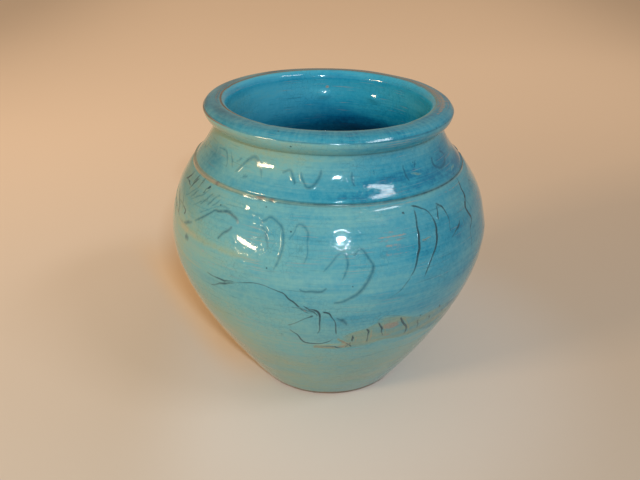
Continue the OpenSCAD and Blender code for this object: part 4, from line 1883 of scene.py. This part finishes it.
TWIG: Strokes = (
    sharp(1, 0.72, 0.6, (-44, 104), (-37, 103.5), (-31, 105)),
    sharp(1, 0.65, 0.6, (-43, 96), (-37, 101), (-31, 105)),
    sharp(0.75, 0.9, 0.8, (-32, 104.5), (-25, 107.5), (-21, 107.5), (-18.5, 106.5), (-16, 105.5),
          (-14, 104.5), (-12.5, 101.5), (-11, 99.5), (-9.5, 96.5), (-8, 94), (-5.5, 91.5)),
    soft(0.9, 0.6, (-12, 96), (-8, 95), (-5, 92.5)),
    sharp(0.9, 1.0, 0.3, (-8, 97.5), (-6, 95.5), (-4, 94.5), (-3, 91.5), (-3, 85.5), (-3, 79.5),
          (-4, 76)),
    sharp(0.9, 0.72, 0.3, (-7, 96), (-4.5, 93), (-3.5, 90.5)),
    sharp(0.8, 0.75, 0.9, (-14, 81.5), (-11.5, 83.5), (-8, 88), (-6, 89.5), (-5, 91)),
    sharp(0.8, 0.9, 0.4, (-13.5, 79), (-12.5, 76.5), (-11, 74), (-10, 70), (-8.5, 67.5),
          (-5.5, 67), (-3, 67), (0, 69), (2.5, 73.5)),
    sharp(0.8, 0.95, 0.1, (-2, 94), (0, 92.5), (1, 90), (2, 86), (2.5, 79), (2.5, 75)),
    soft(1.5, 0.7, (2.5, 89.5), (4, 87.5), (5, 86.5), (6, 82.5)),
    soft(1, 0.3, (4, 29), (10, 31), (19, 33), (26, 32)),
    soft(1, 0.2, (-20, 40), (-10, 38), (0, 40)),
    soft(1, 0.25, (12, 50), (24, 52), (40, 50)),
)

LADDER: Strokes = (
    sharp(0.5, 0.26, 0.4, (6, 75), (9, 77.5), (13, 79), (16.5, 82.5), (17.5, 86), (20.5, 86.5),
          (25, 84), (28, 81.5), (33, 78.5), (38, 79.5), (44.5, 79.5), (51, 77.5)),
    sharp(0.5, 0.22, 0.3, (9, 61.5), (15.5, 63), (19, 67), (25, 65), (30.5, 63), (36.5, 64.5),
          (46, 60), (55, 58.5)),
    sharp(0.9, 0.95, 0.5, (8.5, 74), (8.5, 71.5), (8.5, 68)),
    sharp(0.9, 0.9, 0.3, (13, 78.5), (14, 75.5), (14, 72.5), (14, 64.5)),
    sharp(0.9, 0.9, 0.4, (17, 82.5), (18.5, 77.5), (19, 74), (20, 69.5)),
    sharp(1.1, 0.95, 0.3, (25, 83), (27, 77.5), (29.5, 71), (30, 64)),
    sharp(0.9, 0.66, 0.4, (33.5, 75.5), (35, 70.5), (36, 65.5)),
    sharp(1, 0.6, 0.5, (39.5, 75), (41, 70.5)),
    sharp(1.1, 0.65, 0.5, (43, 81), (44.5, 77.5)),
    sharp(1.1, 0.65, 0.5, (47, 74), (48.5, 71)),
    # pale lines beside the rungs: painted highlights on raised burrs
    painted_burr_highlight(0.8, (14.8, 77.5), (15.2, 73), (15, 66)),
    painted_burr_highlight(0.8, (18.5, 81), (20, 76), (21, 70)),
    painted_burr_highlight(0.9, (26.5, 82), (28.5, 76.5), (31, 70), (31.5, 64.5)),
    painted_burr_highlight(0.7, (9.5, 73), (9.8, 70), (9.5, 67)),
    painted_burr_highlight(1, (-5, 65.5), (0, 66), (4, 66.5), (8, 67.5)),
    scraped(2.2, (-6, 63.5), (-3, 64), (2, 63.5), (8, 64)),
    scraped(1.3, (3, 72), (5, 68.5), (8, 64.5)),
    sharp(0.7, 0.9, 0.5, (-3, 64.5), (0, 64.5), (2, 64), (3.5, 63), (6, 63), (7, 65)),
    sharp(0.8, 0.9, 0.5, (6, 67), (7.5, 65.5), (8.5, 63)),
    sharp(0.8, 0.85, 0.5, (6, 63), (7.5, 65.5), (8, 67.5)),
)

BACK_DRAWING: Strokes = tuple(
    stroke.moved(turn, up, flip)
    for strokes, turn, up, flip in (
        (LEAF + ARCHES[:3], 175, 0, False),
        (ARCHES[3:5], 210, -6, False),
        (TWIG[:5], 150, 4, True),
        (RIGHT_FLANK[:5], 262, 0, True),
        (ARCHES[1:5], 84, 2, False),
        (TWIG[4:10], 262, -4, False),
        (TWIG[:3], 118, 6, False),
    )
    for stroke in strokes)


@dataclass(frozen=True)
class Nib:
    """The mark of one tool from side to side: millimetres proud, and the share of its middle's effect."""

    heights: Row
    shares: Row
    swing: float
    breadth: float
    force: float
    rich: float = 0.0
    worn: float = 0.0


FURROW: Row = (-0.14, 0.07, 0.035, 0.015, 0.035, 0.07, -0.14, -0.34, -0.34)
SCRAPE: Row = (0, 0.25, 0.85, 1, 0.85, 0.25, 0, 0, 0)
NIBS: Dict[Tool, Nib] = {
    Tool.POINT: Nib(FURROW, (0, 0.12, 0.80, 1, 0.80, 0.12, 0, 0, 0), 0.22, 1.40, 1.0),
    Tool.BLUNT: Nib((-0.14, 0.020, 0.018, 0.015, 0.018, 0.020, -0.14, -0.34, -0.34),
                    (0, 0.10, 0.58, 1, 0.58, 0.10, 0, 0, 0), 0.15, 2.10, 0.74, rich=0.10),
    Tool.SCRAPER: Nib(FURROW, SCRAPE, 0.20, 1.45, 1.0, rich=-0.34, worn=0.42),
    # raised burrs, paled as painted highlights
    Tool.EDGE: Nib((-0.14, 0.05, 0.05, 0.05, 0.05, 0.05, -0.14, -0.34, -0.34), SCRAPE, 0.20, 1.20, 0.0,
                   rich=-0.16),
}


@dataclass
class Drawing:
    """Lines cut through the glaze: each a closed ribbon whose section is a furrow between burrs.

    Point (i, j) lies at step i of the line and place j across it. Its offset across is the
    half width times the place, measured on the surface; its height is the section's. Both ends
    narrow and sink.
    """

    turnery: Turnery
    across: Row = (-1.45, -1, -0.55, 0, 0.55, 1, 1.45, 0.9, -0.9)
    shake: float = 0.00016
    shake_waves: Span = (9.0, 17.0)
    press_waves: Span = (4.0, 9.0)
    press_swing: float = 0.10
    heavy_reach: float = 0.30
    start_taper: float = 0.08
    stop_taper: float = 0.12
    narrowest: float = 0.60
    faintest: float = 0.50
    sink: float = 0.03
    apart_by: float = 0.000012
    burr_loss: float = 0.35
    crisp: float = 12.0

    def _ribbon(self, stroke: Stroke, seed: int) -> Tuple[Array, List[Sequence[int]], Attributes]:
        """One stroke as points, faces and values.

        Args:
            stroke: the line
            seed: of the hand's tremor and pressure

        Returns:
            Points, faces numbered from 0, and the glaze's attributes
        """
        line, glazing = self.turnery.outline, self.turnery.glazing
        nib = NIBS[stroke.tool]
        turn, z = stroke.path()
        along = line.outside_at(z)
        count, across = turn.size, len(self.across)
        rng = np.random.default_rng(seed)
        run = np.linspace(0.0, 1.0, count)
        waves = lambda span: np.sin(run * rng.uniform(*span) + rng.uniform(0.0, TAU))
        tremor = waves(self.shake_waves) * self.shake
        ends = np.minimum(smooth(0.0, self.start_taper, run), smooth(0.0, self.stop_taper, 1.0 - run))
        press = 1.0 + nib.swing * (2.0 * hill(run, stroke.heavy, self.heavy_reach) - 1.0)
        press = press + self.press_swing * waves(self.press_waves)
        radius = line.at(along)[:, 0]
        step = np.stack([np.gradient(turn) * radius, np.gradient(along)], 1)
        step /= np.maximum(np.linalg.norm(step, axis=1, keepdims=True), 1e-9)
        side = np.stack([step[:, 1], -step[:, 0]], 1)
        narrow = self.narrowest + (1.0 - self.narrowest) * ends
        half = 0.5 * nib.breadth * stroke.width * MM * press * narrow
        offset = half[:, None] * np.array(self.across)[None, :] + tremor[:, None]
        turns = turn[:, None] + offset * side[:, :1] / radius[:, None]
        places = along[:, None] + offset * side[:, 1:]
        lift = (np.array(nib.heights)[None, :] - self.sink * (1.0 - ends)[:, None]) * MM
        lift = lift + self.apart_by * rng.uniform(-1.0, 1.0)
        low = np.full(places.shape, -1.0)
        high = np.full(places.shape, line.place["edge"] + 1.0)
        face = glazing.face_depth(turns, places, low, high)
        points = self.turnery.wheel.shape(line.at(places, face - lift), turns, places).reshape(-1, 3)
        quads = grid_faces(count, across, False, True)[:, [0, 3, 2, 1]]
        faces: List[Sequence[int]] = quads.tolist()
        faces.append(list(range(across - 1, -1, -1)))
        faces.append(list(range((count - 1) * across, count * across)))
        pressed = np.clip(press * (self.faintest + (1.0 - self.faintest) * ends), 0.0, 1.2)
        return points, faces, self._marked(stroke, pressed, turns.ravel(), places.ravel())

    def _marked(self, stroke: Stroke, pressed: Array, turn: Array, along: Array) -> Attributes:
        """The glaze's values under a stroke: its nib's shares times the pressure, laid over the coat.

        Args:
            stroke: the line
            pressed: the pressure at each step
            turn, along: the ribbon's points, step by step

        Returns:
            The glaze's attributes at those points
        """
        nib = NIBS[stroke.tool]
        shares = np.array(nib.shares)
        told = (pressed[:, None] * shares[None, :]).ravel()
        burr = np.tile(shares * (1.0 - shares), pressed.size)
        values = self.turnery.glaze_values(turn, along)
        values["coat"] = np.clip(values["coat"] + nib.rich * told - self.burr_loss * burr, 0.0, 1.0)
        values["ink"] = np.maximum(values["ink"], np.clip(nib.force * stroke.ink * told, 0.0, 1.0))
        values["worn"] = np.clip(values["worn"] + nib.worn * told, 0.0, 1.0)
        values["throw"] = throw_of(turn, along)
        return values

    def group(self, name: str, strokes: Sequence[Stroke], seed: int, slot: Slot) -> Piece:
        """Joins the ribbons of several strokes into one piece.

        Args:
            name: the object's name
            strokes: the lines
            seed: the first line's seed; each next line takes the next
            slot: the material slot

        Returns:
            The piece, undressed
        """
        points: List[Array] = []
        faces: List[Sequence[int]] = []
        values: Dict[str, List[Array]] = {}
        start = 0
        for k, stroke in enumerate(strokes):
            own, own_faces, own_values = self._ribbon(stroke, seed + k)
            faces.extend([start + index for index in face] for face in own_faces)
            points.append(own)
            for key, value in own_values.items():
                values.setdefault(key, []).append(value)
            start += len(own)
        joined = {key: np.concatenate(parts) for key, parts in values.items()}
        return Piece(make_object(name, np.concatenate(points), faces, joined, self.crisp), slot)

    def build(self) -> List[Piece]:
        """Makes the lines, zone by zone.

        Returns:
            The pieces, undressed
        """
        return [
            self.group("shoulder_band_lines", SHOULDER_BAND, 100, Slot.POOLED),
            self.group("left_flank_lines", HATCH + LEAF, 200, Slot.TURQUOISE),
            self.group("arch_lines", ARCHES, 300, Slot.TURQUOISE),
            self.group("right_flank_lines", RIGHT_FLANK, 400, Slot.TURQUOISE),
            self.group("twig_lines", TWIG, 500, Slot.TURQUOISE),
            self.group("ladder_lines", LADDER, 600, Slot.TURQUOISE),
            self.group("back_lines", BACK_DRAWING, 700, Slot.TURQUOISE),
        ]


# The studio


@dataclass(frozen=True)
class Lamp:
    """A soft panel that faces the vase, placed by its direction from the camera's side."""

    name: str
    azimuth: float
    elevation: float
    distance: float
    width: float
    length: float
    level: float
    colour: Colour
    panes: int = 1
    bar: float = 0.18

    def build(self, target: Vector) -> None:
        """Adds the lamp's panes, one above another with a bar between them.

        Args:
            target: what the lamp faces; white paper there and square to it looks as bright as level
        """
        az, el = self.azimuth * DEG, self.elevation * DEG
        way = Vector((math.cos(el) * math.sin(az), -math.cos(el) * math.cos(az), math.sin(el)))
        turned = way.to_track_quat("Z", "Y")
        pitch = self.length / self.panes
        for k in range(self.panes):
            data = bpy.data.lights.new(self.name, "AREA")
            data.shape = "RECTANGLE"
            data.size = self.width
            data.size_y = pitch * (1.0 - self.bar * (self.panes > 1))
            data.energy = self.level * (math.pi * self.distance) ** 2 / self.panes
            data.color = self.colour
            lamp = bpy.data.objects.new(self.name, data)
            raised = turned @ Vector((0.0, (k - 0.5 * (self.panes - 1)) * pitch, 0.0))
            lamp.location = target + self.distance * way + raised
            lamp.rotation_euler = turned.to_euler()
            bpy.context.scene.collection.objects.link(lamp)


@dataclass
class Studio:
    """The floor, the lamps, the world and the camera."""

    lamps: Tuple[Lamp, ...] = (
        Lamp("window_left", -58.0, 19.0, 2.20, 0.52, 0.12, 0.42, (1.0, 0.72, 0.43), 2),
        Lamp("flash_front", 9.0, 30.0, 1.20, 0.085, 0.016, 0.50, (0.70, 0.87, 1.0), 2),
        Lamp("panel_right", 57.0, 46.0, 2.60, 0.86, 0.31, 0.15, (0.95, 0.96, 1.0)),
    )
    ambient: Colour = (0.51, 0.42, 0.32)
    beyond: Colour = (0.36, 0.27, 0.19)
    floor_radius: float = 3.0
    floor_z: float = -0.0001
    floor_rings: int = 24
    floor_around: int = 96
    # pale paper with painted light and shade round the vase and towards the back
    floor_finish: FloorFinish = FloorFinish("pale_paper", (0.66, 0.57, 0.48), (1.0, 0.76, 0.56),
                                            (0.90, 0.84, 0.80), (1.0, 0.62, 0.31))
    focal_px: float = 795.12
    frame_px: float = 640.0
    sensor: float = 36.0
    pitch: float = 63.85
    eye: Tuple[float, float, float] = (0.0, -0.4714, 0.3204)
    axis_px: float = 328.7

    def build_floor(self) -> None:
        """Lays a round sheet: point (i, j) at radius R (i / n)^2 and turn j, with one middle point."""
        rings, around = self.floor_rings, self.floor_around
        radius = self.floor_radius * (np.arange(1, rings + 1) / rings) ** 2
        turn = np.linspace(0.0, TAU, around, endpoint=False)
        r, t = np.meshgrid(radius, turn, indexing="ij")
        level = np.full(r.size, self.floor_z)
        points = np.stack([(r * np.cos(t)).ravel(), (r * np.sin(t)).ravel(), level], 1)
        points = np.concatenate([points, [[0.0, 0.0, self.floor_z]]])
        j = np.arange(around)
        middle = np.stack([np.full(around, rings * around), j, (j + 1) % around], 1)
        faces = grid_faces(rings, around, False, True).tolist() + middle.tolist()
        floor = make_object("floor_sheet", points, faces, {})
        floor.data.materials.append(self.floor_finish.material())
        floor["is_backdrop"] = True

    def build_world(self) -> None:
        """A dim warm room for the light; camera, glossy and transmission rays see the paper's tan."""
        world = bpy.data.worlds.new("room")
        world.use_nodes = True
        bpy.context.scene.world = world
        tree = Nodes(world.node_tree)
        room = tree.node("ShaderNodeBackground", None, {"Color": self.ambient})
        paper = tree.node("ShaderNodeBackground", None, {"Color": self.beyond})
        rays = tree.node("ShaderNodeLightPath").outputs
        seen = Shade(tree, rays["Is Camera Ray"]).at_least(rays["Is Transmission Ray"])
        shown = seen.at_least(rays["Is Glossy Ray"])
        mix = tree.node("ShaderNodeMixShader", None, {"Fac": shown, 1: room.outputs[0], 2: paper.outputs[0]})
        tree.node("ShaderNodeOutputWorld", None, {"Surface": mix.outputs[0]})

    def build_camera(self) -> None:
        """Stands the camera at the photograph's viewing angle."""
        data = bpy.data.cameras.new("eye")
        data.sensor_fit = "HORIZONTAL"
        data.sensor_width = self.sensor
        data.lens = self.focal_px / self.frame_px * self.sensor
        data.shift_x = (0.5 * self.frame_px - self.axis_px) / self.frame_px
        data.clip_start = 0.01
        data.dof.use_dof = False
        camera = bpy.data.objects.new("eye", data)
        camera.location = self.eye
        camera.rotation_euler = (self.pitch * DEG, 0.0, 0.0)
        bpy.context.scene.collection.objects.link(camera)
        bpy.context.scene.camera = camera

    def build(self, target: Vector) -> None:
        """Sets up all of it.

        Args:
            target: the vase's middle
        """
        self.build_camera()
        self.build_floor()
        self.build_world()
        for lamp in self.lamps:
            lamp.build(target)
        bpy.context.scene.view_settings.view_transform = "Standard"


def main() -> None:
    """Builds the vase piece by piece, dresses it and sets up the studio."""
    logging.basicConfig(level=logging.INFO, format="%(name)s: %(message)s")
    height = CAD_BOX[1][2]
    belly_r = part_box("body_glaze")[1].x
    edge_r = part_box("rolled_rim")[1].x
    outline = Outline(height=height, belly_r=belly_r, edge_r=edge_r)
    turnery = Turnery(outline, Wheel(outline), Glazing(outline))
    glaze = GlazeFinish("turquoise_glaze").material()
    looks = {
        Slot.CLAY: ClayFinish("fired_clay", (0.23, 0.175, 0.14), (0.13, 0.10, 0.08)).material(),
        Slot.WORN_CLAY: ClayFinish("rubbed_clay", (0.25, 0.18, 0.13), (0.15, 0.10, 0.07)).material(),
        Slot.SLIP: ClayFinish("slip_clay", (0.58, 0.45, 0.34), (0.46, 0.33, 0.24)).material(),
        Slot.TURQUOISE: glaze,
        Slot.POOLED: glaze,
        Slot.LINING: GlazeFinish("lining_glaze", LINING_STOPS, streak=0.15, gloss=0.08).material(),
    }
    pieces = ClaySections(turnery).build() + Cordon(turnery).build()
    pieces += GlazeCoats(turnery).build() + Drawing(turnery).build()
    for piece in pieces:
        piece.settle(looks)
    Studio().build(Vector((0.0, 0.0, 0.5 * height)))
    boxes = {"cad": [list(corner) for corner in CAD_BOX], "visual": [list(corner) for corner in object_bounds()]}


if __name__ == "__main__":
    main()
